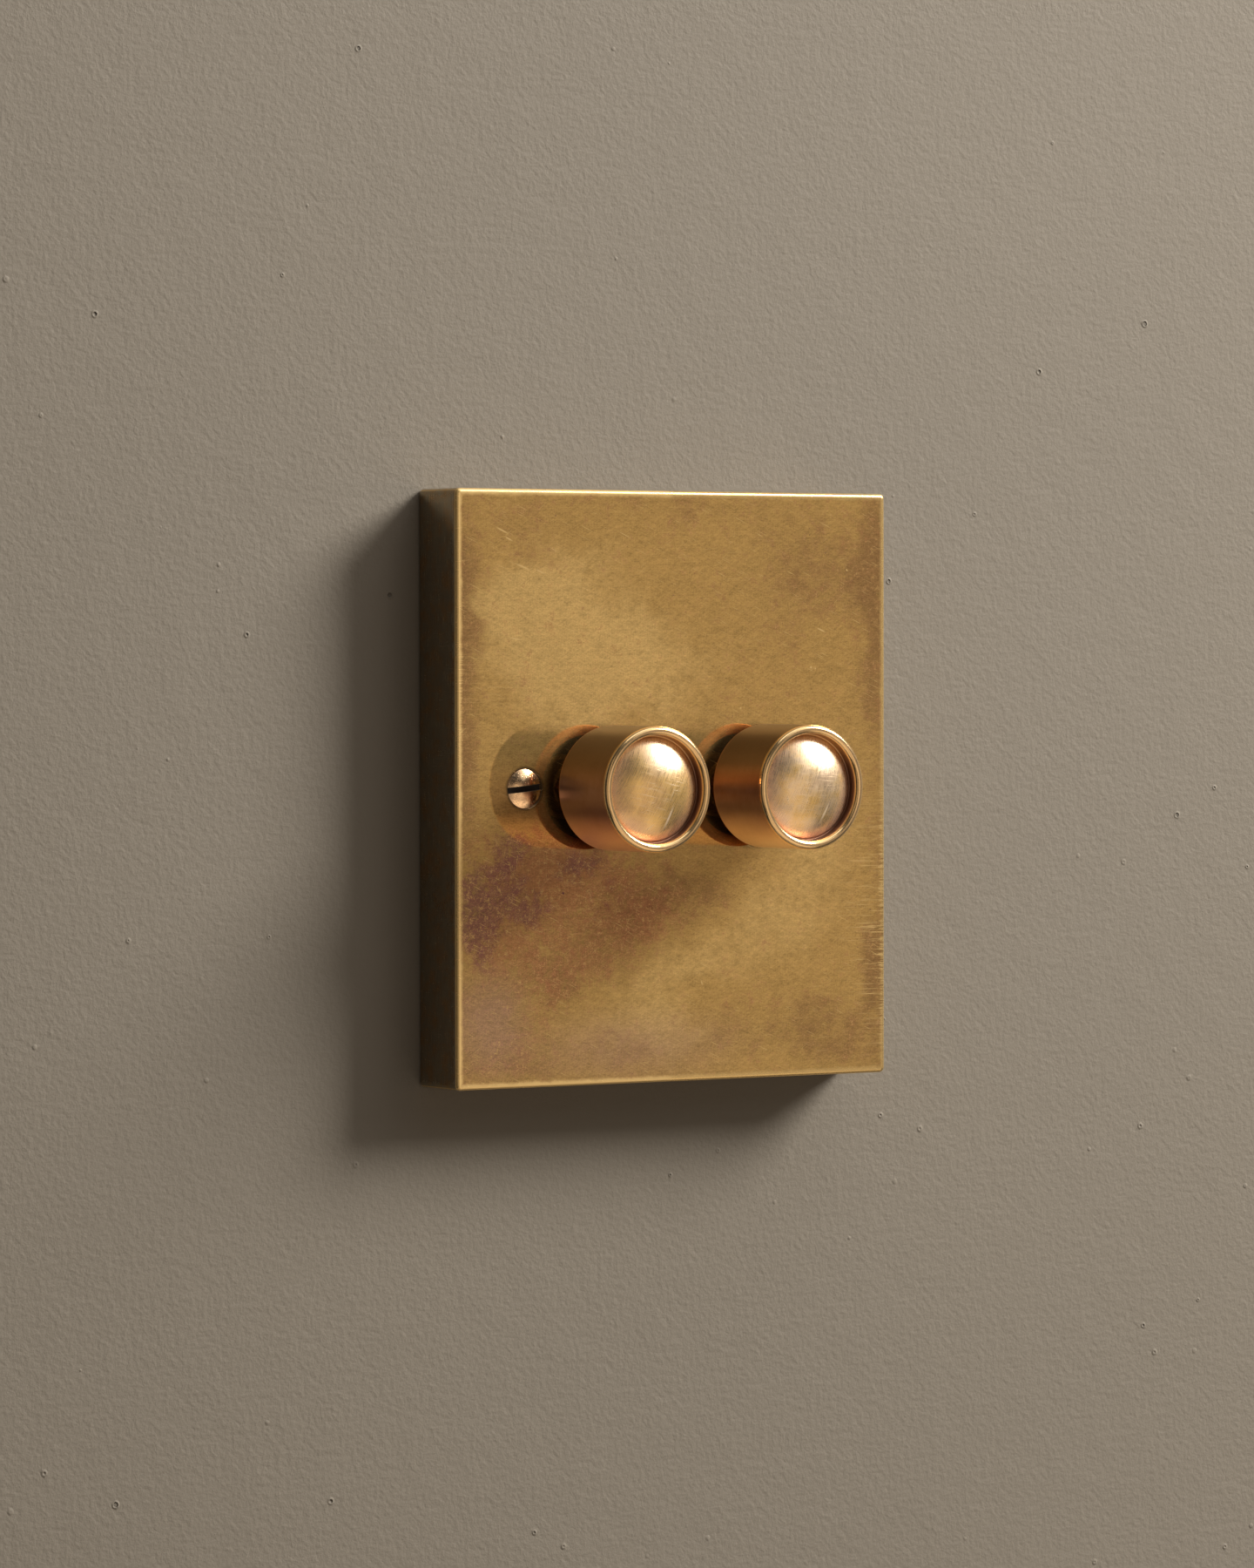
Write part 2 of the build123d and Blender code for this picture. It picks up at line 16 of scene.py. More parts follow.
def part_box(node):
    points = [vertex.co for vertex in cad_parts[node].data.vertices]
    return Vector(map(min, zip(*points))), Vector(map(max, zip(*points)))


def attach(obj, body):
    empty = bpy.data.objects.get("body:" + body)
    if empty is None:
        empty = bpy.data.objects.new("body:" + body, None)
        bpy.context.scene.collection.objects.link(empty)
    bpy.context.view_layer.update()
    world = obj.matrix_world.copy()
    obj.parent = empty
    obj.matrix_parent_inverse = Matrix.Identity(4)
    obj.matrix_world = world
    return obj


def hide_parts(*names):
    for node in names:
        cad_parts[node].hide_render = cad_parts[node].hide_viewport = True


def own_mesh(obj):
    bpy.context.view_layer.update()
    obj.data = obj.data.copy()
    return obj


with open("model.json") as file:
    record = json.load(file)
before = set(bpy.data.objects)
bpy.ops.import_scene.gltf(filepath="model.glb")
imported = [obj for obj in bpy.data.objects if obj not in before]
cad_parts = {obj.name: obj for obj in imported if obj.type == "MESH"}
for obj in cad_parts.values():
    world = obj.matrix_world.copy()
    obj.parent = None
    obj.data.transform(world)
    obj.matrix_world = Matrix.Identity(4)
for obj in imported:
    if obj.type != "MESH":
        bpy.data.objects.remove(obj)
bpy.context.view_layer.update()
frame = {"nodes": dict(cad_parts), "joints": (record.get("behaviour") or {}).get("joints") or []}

bl_info = {
    "name": "Dimmer switch looks",
    "version": (1, 0, 0),
    "blender": (4, 5, 0),
    "location": "3D View > Sidebar > Dimmer",
    "description": "Dresses a packed two-gang dimmer switch in aged brass",
    "category": "Object",
}

MM = 0.001
SIDES = ("left", "right")
SHARP_EDGE = math.radians(32.0)
SCREW_HEAD_RADIUS = 0.0033
# A thread is a zigzag made steeper and cut off, which leaves flats at its crests and roots
THREAD_STEEPNESS = 1.3
THREAD_CUT_OFF = 0.15

# Soft ovals on the front of the plate, in millimetres from its middle. Each is
# (x, z, half width, half height, turn in degrees, weight).
RUBBED_SPOTS = (
    (-20.0, 22.0, 26.0, 25.0, 20.0, 1.1),
    (-2.0, 20.0, 22.0, 15.0, 0.0, 0.6),
    (22.0, -22.0, 26.0, 15.0, 35.0, 0.6),
    (30.0, -5.0, 15.0, 17.0, 0.0, 0.55),
    (-2.0, -32.0, 27.0, 9.0, 25.0, 0.6),
    (-24.0, -39.0, 12.0, 9.0, 0.0, 0.4),
    (-30.0, 31.0, 15.0, 14.0, 0.0, 1.1),
    (-4.0, -42.0, 20.0, 7.0, 0.0, 0.8),
)
BROWN_SPOTS = (
    (0.0, 49.0, 46.0, 8.0, 0.0, 0.4),
    (-30.0, 44.0, 13.0, 9.0, 0.0, 0.35),
    (28.0, 40.0, 19.0, 13.0, 0.0, 0.5),
    (40.0, 36.0, 8.0, 17.0, 0.0, 0.8),
    (40.0, 18.0, 6.0, 17.0, 0.0, 0.5),
    (22.0, 30.0, 24.0, 18.0, 20.0, 0.35),
    (-41.0, 28.0, 6.0, 20.0, 0.0, 0.7),
    (-41.0, 4.0, 5.0, 15.0, 0.0, 0.6),
    (-30.0, -46.0, 17.0, 8.0, 0.0, 0.65),
    (-9.0, -45.0, 15.0, 7.0, 0.0, 0.45),
    (8.0, -42.0, 13.0, 6.0, 20.0, 0.5),
    (24.0, -40.0, 15.0, 7.0, 15.0, 0.6),
    (33.0, -45.0, 15.0, 9.0, 0.0, 0.8),
    (41.0, -32.0, 6.0, 15.0, 0.0, 0.65),
    # The next two lie along the right knob's shadow: partly brown patina, partly a painted shadow tint
    (-14.0, -24.0, 26.0, 12.0, 25.0, 0.75),
    (2.0, -17.0, 20.0, 7.0, 0.0, 0.55),
    (-30.0, -34.0, 15.0, 9.0, 0.0, 0.5),
)
# Red-brown bloom round the stain; the ovals along the knobs' shadows down to the left are partly a painted
# shadow tint
RUST_AND_SHADOW_SPOTS = (
    (-30.0, -16.0, 22.0, 14.0, 0.0, 1.1),
    (-18.0, -13.0, 20.0, 8.0, 0.0, 0.8),
    (-4.0, -20.0, 15.0, 9.0, 15.0, 0.5),
    (-14.0, -24.0, 22.0, 11.0, 15.0, 0.7),
    (-36.0, -28.0, 14.0, 12.0, 0.0, 0.8),
    (-24.0, -34.0, 17.0, 9.0, 30.0, 0.45),
    (-32.0, -44.0, 15.0, 7.0, 10.0, 0.5),
)
STAIN_SPOTS = (
    (-39.5, -20.5, 8.5, 7.5, 10.0, 1.2),
    (-30.0, -20.0, 8.5, 6.5, 0.0, 1.0),
    (-32.7, -10.8, 7.5, 6.5, 0.0, 1.0),
    (-34.5, -15.5, 7.0, 5.5, 0.0, 0.7),
    (-38.5, -27.0, 6.5, 7.0, 0.0, 0.8),
    (-41.0, -14.5, 5.5, 7.5, 0.0, 0.7),
    (-19.5, -13.0, 11.0, 5.5, 0.0, 1.0),
    (-13.0, -19.0, 10.0, 5.5, 20.0, 0.4),
)
SLATE_SPOTS = (
    (-37.0, -39.0, 11.0, 13.0, 0.0, 0.8),
    (-10.0, -44.0, 34.0, 9.0, 0.0, 0.5),
)
COMBED_SPOTS = (
    (43.0, -22.0, 13.0, 34.0, 0.0, 1.0),
    (-38.0, 16.0, 12.0, 16.0, 0.0, 0.3),
)
DEEP_PIT = (-22.6, -17.6, 0.32, 0.32, 0.0, 1.6)
PLATE_MARKS = (
    (27.9, 20.1, 0.30, 0.30, 0.0, 1.5),
    (28.8, 19.9, 0.22, 0.22, 0.0, 1.2),
    (30.0, 26.5, 1.3, 0.22, -22.0, 1.0),
    (35.4, 36.8, 0.35, 0.2, -40.0, 1.0),
    (13.3, 13.2, 0.25, 0.25, 0.0, 1.0),
    (-34.5, 43.0, 1.8, 0.22, -24.0, 1.0),
    (-33.2, 41.6, 1.2, 0.22, -26.0, 0.9),
    (-30.5, 37.0, 2.2, 0.22, -20.0, 0.9),
    (-27.0, 36.2, 1.4, 0.22, -22.0, 0.8),
    (-32.0, 25.0, 1.6, 0.22, -8.0, 0.8),
    (5.3, -33.4, 0.2, 0.6, 20.0, 0.8),
)
# A pale patch painted as a highlight near the top of each dome, and the scratches of each dome, written in
# the same way from the middle of the dome
DOME_PAINTED_HIGHLIGHT = (1.6, 5.4, 6.0, 4.4, 0.0, 0.85)
DOME_MARKS = (
    (
        (2.1, -4.75, 2.9, 0.34, 71.0, 1.6),
        (-1.2, -6.2, 1.0, 0.22, 40.0, 0.7),
        (2.6, -0.6, 1.6, 0.2, 62.0, 0.6),
    ),
    (
        (2.5, -4.4, 2.7, 0.34, 66.0, 1.5),
        (0.5, 0.0, 0.3, 0.3, 0.0, 1.4),
        (-4.9, -2.0, 0.24, 1.2, 10.0, 0.7),
    ),
)


def middle(node):
    low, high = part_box(node)
    return (low + high) / 2


gang_x = {side: middle(f"{side}_knob").x for side in SIDES}
plate_low, plate_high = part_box("face_plate")
knob_low, knob_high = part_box("left_knob")
bush_low, bush_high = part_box("left_bush")
screws_low, screws_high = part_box("fixing_screws")
spring_low, spring_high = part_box("left_return_spring")
choke_low, choke_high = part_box("left_choke")
push_travel = next(joint["range_m"][1] for joint in frame["joints"] if joint["name"] == "left_push")


def length(name, description, default):
    return FloatProperty(
        name=name, description=description, default=default, min=0.0, unit="LENGTH", precision=5
    )


def colour(name, description, default):
    return FloatVectorProperty(
        name=name, description=description, default=default, min=0.0, max=1.0, size=3, subtype="COLOR"
    )


def share(name, description, default):
    return FloatProperty(
        name=name, description=description, default=default, min=0.0, max=1.0, subtype="FACTOR"
    )


def angle(name, description, degrees):
    return FloatProperty(name=name, description=description, default=math.radians(degrees), subtype="ANGLE")


class PlateLook(bpy.types.PropertyGroup):
    """Colours and wear of the face plate, with painted shade and a painted shadow tint."""

    gold: colour("Gold", "Rubbed brass where hands have kept it clean", (0.82, 0.548, 0.202))
    olive: colour("Olive", "Evenly aged brass", (0.67, 0.420, 0.140))
    brown: colour("Brown", "Brown clouds of old polish", (0.43, 0.245, 0.095))
    # Also a painted shadow tint along the knobs' shadows
    rust_and_shadow: colour("Rust", "Red brown bloom round the stain", (0.50, 0.210, 0.100))
    stain: colour("Stain", "Purple brown stain below the left knob", (0.250, 0.100, 0.108))
    slate: colour("Slate", "Dull pinkish bloom along the lower edge", (0.54, 0.325, 0.215))
    bright: colour("Bright", "Bare metal on worn edges and scratches", (0.98, 0.68, 0.28))
    rim: colour("Rim", "Dark untouched metal of the sides", (0.33, 0.295, 0.225))
    # Used for the dark rings round the screw heads and as painted shade behind the knobs
    dirt: colour("Dirt", "Old dirt round the screw heads and behind the knobs", (0.06, 0.035, 0.02))
    tray: colour("Tray", "Dull metal inside the tray", (0.46, 0.33, 0.14))
    wear: length("Edge wear", "Width of the rubbed band along the edges", 0.0012)
    gloss: share("Roughness", "Roughness of the clean brass", 0.04)
    bloom: share("Bloom", "Share of the thin matt bloom over the metal", 0.31)


class KnobLook(bpy.types.PropertyGroup):
    """Shape and colours of the turned knobs, with colours for their painted light and shade."""

    radius: length("Radius", "Outside radius", (knob_high.x - knob_low.x) / 2)
    reach: length("Length", "From the back edge to the lip", 0.0146)
    skirt: length("Skirt", "Thickness of the wall round the recess", 0.0018)
    recess: length("Recess", "Depth of the recess in the back", 0.0070)
    insert_radius: length("Insert radius", "Radius of the seat of the grip insert", 0.0055)
    insert_depth: length("Insert depth", "Depth of the seat of the grip insert", 0.0050)
    lip: length("Lip", "Width of the rounded lip", 0.0015)
    groove: length("Groove", "Width of the groove inside the lip", 0.0003)
    groove_depth: length("Groove depth", "From the lip down to the floor of the groove", 0.0022)
    dome_step: length("Dome step", "Height of the dome's edge over the groove", 0.0002)
    segments: IntProperty(name="Segments", description="Facets round a knob", default=256, min=32, max=512)
    crown: FloatProperty(
        name="Crown", description="How flat the middle of the dome is: 2 is an even bow", default=2.4,
        min=1.5, max=4.0,
    )
    gold: colour("Gold", "Rubbed brass in the middle of the dome", (0.87, 0.555, 0.190))
    # Also painted as reflected light on the lower part of the knobs' sides
    pale: colour("Pale", "Silvery rubbed brass of the paler dome and of scratches", (0.93, 0.70, 0.45))
    # Painted highlight: the pale patch near the top of each dome
    painted_highlight: colour("Silver", "Palest brass near the top of the dome", (0.96, 0.82, 0.66))
    rose: colour("Rose", "Warm brass of the side", (0.44, 0.29, 0.255))
    blush: colour("Blush", "Pinkish brass round the edge of the dome", (0.86, 0.58, 0.40))
    # Painted shade over the top of the knobs' sides
    side_top_shade: colour("Umber", "Dark tarnish over the top of the side", (0.20, 0.130, 0.070))
    # In the groove this colour is also painted shade
    dusk: colour("Dusk", "Purple brown tarnish in the groove and in clouds", (0.30, 0.150, 0.110))
    bright: colour("Bright", "Bare metal on the lip", (0.95, 0.64, 0.30))
    # On the knobs' sides this colour is also a painted reflection in a band
    copper: colour("Copper", "Red brass of the back edge and of a band on the side", (0.70, 0.33, 0.14))
    # Painted shade in the recess of the back
    recess_shade: colour("Soot", "Dark tarnish in the recess of the back", (0.10, 0.055, 0.03))
    gloss: share("Roughness", "Roughness of the dome", 0.25)
    bloom: share("Bloom", "Share of the thin matt bloom over the metal", 0.24)


class ScrewLook(bpy.types.PropertyGroup):
    """Shape and colours of the slotted fixing screws."""

    pitch: length("Pitch", "Pitch of the thread", 0.0006)
    thread_depth: length("Thread depth", "Depth of the thread", 0.0003)
    head_radius: length("Head radius", "Radius of the raised head", SCREW_HEAD_RADIUS)
    head_rise: length("Head rise", "Rise of the head above its rim", 0.0008)
    shank_radius: length("Shank radius", "Radius of the plain shank", 0.0014)
    thread_radius: length("Thread radius", "Outside radius of the thread", 0.00175)
    slot_width: length("Slot width", "Width of the driver slot", 0.0010)
    slot_depth: length("Slot depth", "Depth of the driver slot", 0.0010)
    left_turn: angle("Left turn", "Turn of the left screw's slot", 5.6)
    right_turn: angle("Right turn", "Turn of the right screw's slot", -14.0)
    brass: colour("Brass", "Rubbed metal of the head", (0.98, 0.66, 0.38))
    tarnish: colour("Tarnish", "Dark pits and rings of the head", (0.20, 0.10, 0.06))
    bright: colour("Bright", "Bare metal along the slot", (0.85, 0.62, 0.36))
    # Also painted shade in the slot
    dirt: colour("Dirt", "Old dirt in the slot", (0.02, 0.013, 0.01))


class WorksLook(bpy.types.PropertyGroup):
    """Finishes of the pieces behind the plate."""

    case: colour("Case", "Moulded cases of the modules", (0.028, 0.028, 0.030))
    pot: colour("Housings", "Moulded housings inside the cases", (0.10, 0.105, 0.115))
    nylon: colour("Nylon", "Natural nylon of inserts, rotors and plungers", (0.68, 0.65, 0.56))
    phenolic: colour("Phenolic", "Laminate of the wafers", (0.17, 0.075, 0.035))
    board: colour("Board", "Solder resist of the circuit boards", (0.030, 0.115, 0.050))
    copper: colour("Copper", "Enamelled wire of the chokes", (0.52, 0.16, 0.06))
    film: colour("Capacitor", "Moulded capacitors", (0.52, 0.30, 0.05))
    epoxy: colour("Epoxy", "Moulded semiconductors", (0.022, 0.022, 0.022))
    steel: colour("Steel", "Ground and plated steel", (0.60, 0.60, 0.61))
    aluminium: colour("Aluminium", "Rolled plates that close the cases", (0.72, 0.73, 0.74))
    brass: colour("Brass", "Machined brass of bushes and terminals", (0.72, 0.52, 0.22))


class StageLook(bpy.types.PropertyGroup):
    """Wall, floor, light and camera."""

    wall: colour("Wall", "Paint of the wall", (0.249, 0.217, 0.171))
    floor: colour("Floor", "Pale floor", (0.74, 0.70, 0.64))
    room: colour("Room", "Tint of the dim room and of the light behind the wall", (1.0, 0.97, 0.93))
    backdrop: colour("Backdrop", "What is seen past the wall and the floor", (0.52, 0.50, 0.47))
    wall_width: length("Wall width", "Width of the wall panel", 0.90)
    floor_drop: length("Floor drop", "How far the floor lies below the middle of the plate", 2.60)
    camera_place: FloatVectorProperty(
        name="Camera", description="Place of the camera", default=(-0.603036, -0.922797, 0.023346),
        size=3, subtype="TRANSLATION",
    )
    yaw: angle("Yaw", "Turn of the camera to the right", 33.077)
    pitch: angle("Pitch", "Tilt of the camera downwards", 1.202)
    roll: angle("Roll", "Turn of the camera about its view", -0.062)
    lens: FloatProperty(name="Lens", description="Focal length in millimetres", default=148.216, min=1.0)
    key: FloatProperty(name="Key light", description="Brightness of the key light", default=32.5, min=0.0)
    fill: FloatProperty(name="Fill light", description="Brightness of the fills", default=0.34, min=0.0)
    world: FloatProperty(name="Surroundings", description="Brightness of the room", default=0.02, min=0.0)


class Field:
    """A value that varies over a surface. Arithmetic on fields adds Math nodes to their finish."""

    def __init__(self, finish, socket):
        self.finish = finish
        self.socket = socket

    def math(self, operation, *others):
        return self.finish.add("ShaderNodeMath", {"operation": operation}, dict(enumerate((self, *others))))

    def __add__(self, other):
        return self.math("ADD", other)

    def __sub__(self, other):
        return self.math("SUBTRACT", other)

    def __rsub__(self, other):
        return self * -1.0 + other

    def __mul__(self, other):
        return self.math("MULTIPLY", other)

    def __truediv__(self, other):
        return self.math("DIVIDE", other)

    def __pow__(self, other):
        return self.math("POWER", other)

    def __abs__(self):
        return self.math("ABSOLUTE")

    __radd__ = __add__
    __rmul__ = __mul__

    def least(self, other):
        return self.math("MINIMUM", other)

    def most(self, other):
        return self.math("MAXIMUM", other)

    def rise(self, low, high):
        """A smooth step from 0 at low to 1 at high."""
        return self.finish.add(
            "ShaderNodeMapRange", {"interpolation_type": "SMOOTHSTEP"}, {0: self, 1: low, 2: high}
        )


class Finish:
    """A material in the making, with places on its surface in millimetres."""

    def __init__(self, name, **constants):
        self.material = bpy.data.materials.new(name)
        self.material.use_nodes = True
        self.tree = self.material.node_tree
        self.shader = self.tree.nodes["Principled BSDF"]
        self.cover(**constants)
        coordinates = self.add("ShaderNodeTexCoord", out="Object")
        self.place = self.shade(coordinates, 1.0 / MM)
        self.x, self.y, self.z = (
            self.add("ShaderNodeSeparateXYZ", None, {0: self.place}, axis) for axis in range(3)
        )

    def add(self, kind, settings=None, sockets=None, out=0):
        """Adds a node: its settings first, then the values or links of its sockets."""
        node = self.tree.nodes.new(kind)
        for name, value in (settings or {}).items():
            setattr(node, name, value)
        for key, value in (sockets or {}).items():
            self.plug(node.inputs[key], value)
        return Field(self, node.outputs[out])

    def plug(self, socket, value):
        if isinstance(value, Field):
            self.tree.links.new(value.socket, socket)
        elif socket.type == "RGBA":
            socket.default_value = (*value, 1.0)
        else:
            socket.default_value = value

    def cover(self, **sockets):
        """Sets sockets of the shader by their names, with spaces written as underscores."""
        for name, value in sockets.items():
            self.plug(self.shader.inputs[name.replace("_", " ")], value)

    def mix(self, factor, first, second):
        return self.add(
            "ShaderNodeMix", {"data_type": "RGBA"}, {0: factor, 6: first, 7: second}, out=2
        )

    def join(self, x, y, z):
        return self.add("ShaderNodeCombineXYZ", None, {0: x, 1: y, 2: z})

    def stretch(self, vector, factors):
        return self.add("ShaderNodeVectorMath", {"operation": "MULTIPLY"}, {0: vector, 1: factors})

    def noise(self, where, scale, detail=2.0, roughness=0.5, out=0):
        return self.add(
            "ShaderNodeTexNoise",
            None,
            {"Vector": where, "Scale": scale, "Detail": detail, "Roughness": roughness},
            out,
        )

    def streaks(self, turn, along, across):
        """Fine lines over the front, turned by degrees, with their length and width in millimetres."""
        turned = self.add(
            "ShaderNodeVectorRotate",
            {"rotation_type": "Y_AXIS"},
            {"Vector": self.place, "Angle": math.radians(turn)},
        )
        return self.noise(self.stretch(turned, (1.0 / along, 1.0 / along, 1.0 / across)), 1.0)

    def spots(self, where, *ovals):
        """Soft ovals on the front, added up. Each is (x, z, width, height, turn, weight) in half sizes."""
        right_through = 1000.0
        total = 0.0
        for x, z, width, height, turn, weight in ovals:
            local = self.add(
                "ShaderNodeMapping",
                {"vector_type": "TEXTURE"},
                {
                    "Vector": where,
                    "Location": (x, 0.0, z),
                    "Rotation": (0.0, -math.radians(turn), 0.0),
                    "Scale": (width, right_through, height),
                },
            )
            away = self.add("ShaderNodeVectorMath", {"operation": "LENGTH"}, {0: local}, out="Value")
            total = (1.0 - away.rise(0.0, 1.0)) * weight + total
        return total

    def stirred(self, scale, amount):
        """Places moved about by a noise, so that what is laid on them gets a ragged edge."""
        noise = self.noise(self.place, scale, 4.0, out="Color")
        shift = self.add("ShaderNodeVectorMath", {"operation": "SUBTRACT"}, {0: noise, 1: (0.5, 0.5, 0.5)})
        sockets = {0: shift, 1: (amount, amount, amount), 2: self.place}
        return self.add("ShaderNodeVectorMath", {"operation": "MULTIPLY_ADD"}, sockets)

    def shade(self, tone, amount):
        """Makes a colour lighter or darker, or a vector longer or shorter."""
        return self.add("ShaderNodeVectorMath", {"operation": "SCALE"}, {0: tone, "Scale": amount})

    def bump(self, height, distance):
        """Raises the surface by a height field, with the distance in millimetres."""
        sockets = {"Strength": 1.0, "Distance": distance * MM, "Height": height}
        self.cover(Normal=self.add("ShaderNodeBump", None, sockets))


class PlateFinish(Finish):
    """The face plate's finish in the making, with the noises and distances that its layers share."""

    def __init__(self, look):
        super().__init__("plate_aged_brass")
        self.look = look
        self.drift = self.noise(self.place, 0.05, 5.0, 0.6)
        self.clouds = self.noise(self.place, 0.15, 6.0, 0.66)
        self.mottle = self.noise(self.place, 0.42, 6.0, 0.68)
        self.fine = self.noise(self.place, 1.3, 4.0, 0.7)
        self.speckle = self.noise(self.place, 3.4, 2.0, 0.6)
        self.to_side = plate_high.x / MM - abs(self.x)
        self.to_front = self.y - plate_low.y / MM
        to_end = plate_high.z / MM - abs(self.z)
        self.near = self.to_side.least(to_end)
        far = self.to_side.most(to_end)
        self.to_edge = self.near.least(self.to_front).most(self.near.most(self.to_front).least(far))

    def patina(self):
        """Clouds of rubbed, brown, red and stained metal, with fine flecks and pits; the red clouds and two
        brown ones along the knobs' shadows are partly a painted shadow tint.
        """
        look = self.look
        where = self.stirred(0.11, 14.0)
        ragged = self.stirred(0.3, 6.0)
        noises = (self.drift, self.clouds, self.mottle, self.fine)
        drift, clouds, mottle, fine = (noise - 0.5 for noise in noises)

        rubbed = self.spots(where, *RUBBED_SPOTS) + drift * 0.8 + mottle * 0.8
        self.rubbed = rubbed.rise(0.05, 0.95)
        border = 1.0 - self.to_side.rise(0.0, 7.0)
        brown = self.spots(where, *BROWN_SPOTS) + border * 0.55 + clouds * 1.7 + mottle * 1.6 + fine
        self.brown = brown.rise(0.1, 1.0)
        rust_and_shadow = self.spots(ragged, *RUST_AND_SHADOW_SPOTS) + clouds * 0.9 + mottle * 2.3 + fine * 1.9
        rust_and_shadow = rust_and_shadow.rise(0.1, 1.05)
        stain = self.spots(ragged, *STAIN_SPOTS) + mottle * 2.3 + fine * 1.6
        self.stain = stain.rise(0.25, 1.2)
        slate = self.spots(self.place, *SLATE_SPOTS) * (0.5 + self.mottle)
        tone = self.mix(self.rubbed, look.olive, look.gold)
        tone = self.mix(self.brown, tone, look.brown)
        tone = self.mix(rust_and_shadow * 0.8, tone, look.rust_and_shadow)
        tone = self.mix(self.stain * 0.72, tone, look.stain)
        tone = self.mix(slate.least(0.7), tone, look.slate)

        dust = self.noise(self.place, 5.5, 4.0, 0.75) + fine * 0.9
        coarse = (0.1 + self.brown * 0.25 + rust_and_shadow * 0.5 + self.stain * 0.45).least(0.7)
        tone = self.mix(dust.rise(0.52, 0.68) * coarse, tone, look.gold)
        self.pits = self.noise(self.place, 1.9, 1.0).rise(0.76, 0.80)
        self.deep_pit = self.spots(self.place, DEEP_PIT)
        return self.mix((self.pits * 0.6 + self.deep_pit).least(1.0), tone, look.stain)

    def from_axes(self, x):
        """Distance from the nearer of two axes that stand at x to the left and the right."""
        across = abs(self.x) - x
        return (across * across + self.z * self.z) ** 0.5

    def dark_rings_and_knob_shade(self, tone):
        """A dark ring round each screw head, and painted shade on the plate behind the knobs."""
        head = SCREW_HEAD_RADIUS / MM
        from_screw = self.from_axes(screws_high.x / MM - head)
        # A dark ring on the plate round each screw head
        self.ring = 1.0 - from_screw.rise(head + 0.05, head + 0.45 + self.mottle * 0.4)
        tone = self.mix(self.ring * 0.9, tone, self.look.dirt)
        knob = (knob_high.x - knob_low.x) / 2.0 / MM
        # Painted shade: darkens the plate in a disc behind each knob
        self.knob_shade = 1.0 - self.from_axes(gang_x["right"] / MM).rise(knob - 1.1, knob + 0.7)
        return self.mix(self.knob_shade * 0.75, tone, self.look.dirt)

    def scratches(self, tone):
        """Short dashes from rubbing, hairlines, combed lines by the right edge and single marks."""
        runs = ((3.0, 2.6), (-22.0, 2.2), (32.0, 1.6), (88.0, 1.2))
        self.grain = sum(self.streaks(turn, run, 0.16) for turn, run in runs) / len(runs)
        shade = -0.72 + self.grain * 1.9 + self.speckle * 0.5
        tone = self.shade(tone, shade + self.fine * 0.3 + self.mottle * 0.44 + self.clouds * 0.3)
        hairlines = ((4.0, 6.0, 0.66, 0.7), (-24.0, 4.0, 0.65, 1.2), (40.0, 4.0, 0.67, 0.8))
        hairs = sum(
            self.streaks(turn, run, 0.18).rise(start, start + 0.07) * weight
            for turn, run, start, weight in hairlines
        )
        combed = self.spots(self.place, *COMBED_SPOTS)
        lines = self.streaks(0.0, 5.0, 0.17)
        self.fray = (lines - 0.5) * combed
        hairs = hairs * (0.4 + self.drift * 0.5) + lines.rise(0.55, 0.72) * combed * 1.2
        self.hairs = hairs + self.spots(self.place, *PLATE_MARKS) * 1.6
        return self.mix(self.hairs.least(1.0), tone, self.look.bright)

    def edges(self, tone):
        """Bare metal along the edges, dark untouched sides and dull metal inside the tray."""
        look = self.look
        reach = look.wear / MM
        ragged = self.to_edge + (self.mottle - 0.5) * 0.9 - self.fray * 5.0
        self.wear = 1.0 - ragged.rise(0.5 * reach, 1.15 * reach)
        tone = self.mix(self.wear * 0.9, tone, look.bright)
        self.on_rim = self.to_front.rise(0.3, 0.7) * (1.0 - self.near.rise(0.1, 0.3))
        self.drawn = self.noise(self.stretch(self.place, (0.3, 5.0, 0.3)), 1.0, 4.0)
        rim = self.mix(self.mottle.rise(0.42, 0.66) * 0.7, look.rim, look.brown)
        rim = self.shade(rim, 0.55 + self.drawn * 0.9)
        flecks = self.drawn.rise(0.62, 0.72) + self.speckle.rise(0.66, 0.74)
        rim = self.mix(flecks * 0.3, rim, look.olive)
        tone = self.mix(self.on_rim * 0.92, tone, rim)
        front_thickness, wall_thickness = 2.6, 2.2
        past_front = (self.to_front - front_thickness).rise(0.0, 0.3)
        past_wall = (self.near - wall_thickness).rise(0.0, 0.2)
        self.inside = past_front * past_wall
        return self.mix(self.inside, tone, self.mix(self.fine, look.tray, look.olive))


def plate_brass(look):
    """Old hand-rubbed brass: metal under a thin matt bloom, clouds of patina, a stain and worn edges, with a
    painted shadow tint along the knobs' shadows and painted shade behind the knobs.
    """
    finish = PlateFinish(look)
    tone = finish.patina()
    tone = finish.dark_rings_and_knob_shade(tone)
    tone = finish.scratches(tone)
    tone = finish.edges(tone)
    at_left = (finish.x * -1.0).rise(0.0, 2.0)
    metal = (1.0 - look.bloom) - finish.rubbed * 0.05 + finish.stain * 0.08
    metal = metal + finish.wear * (0.12 - at_left * 0.3) + finish.on_rim * 0.15 + finish.knob_shade * 0.2
    rough = look.gloss + finish.fine * 0.02 + finish.brown * 0.02 + finish.stain * 0.04 + finish.hairs * 0.05
    dull = finish.on_rim * finish.drawn + finish.ring + finish.inside
    rough = rough + finish.wear * 0.2 + dull * 0.3
    finish.cover(Base_Color=tone, Roughness=rough, Metallic=metal.least(1.0))
    height = finish.hairs * 0.4 + finish.grain * 0.7 + finish.speckle * 0.12
    finish.bump(height - finish.pits * 0.8 - finish.deep_pit, 0.0008)
    return finish.material


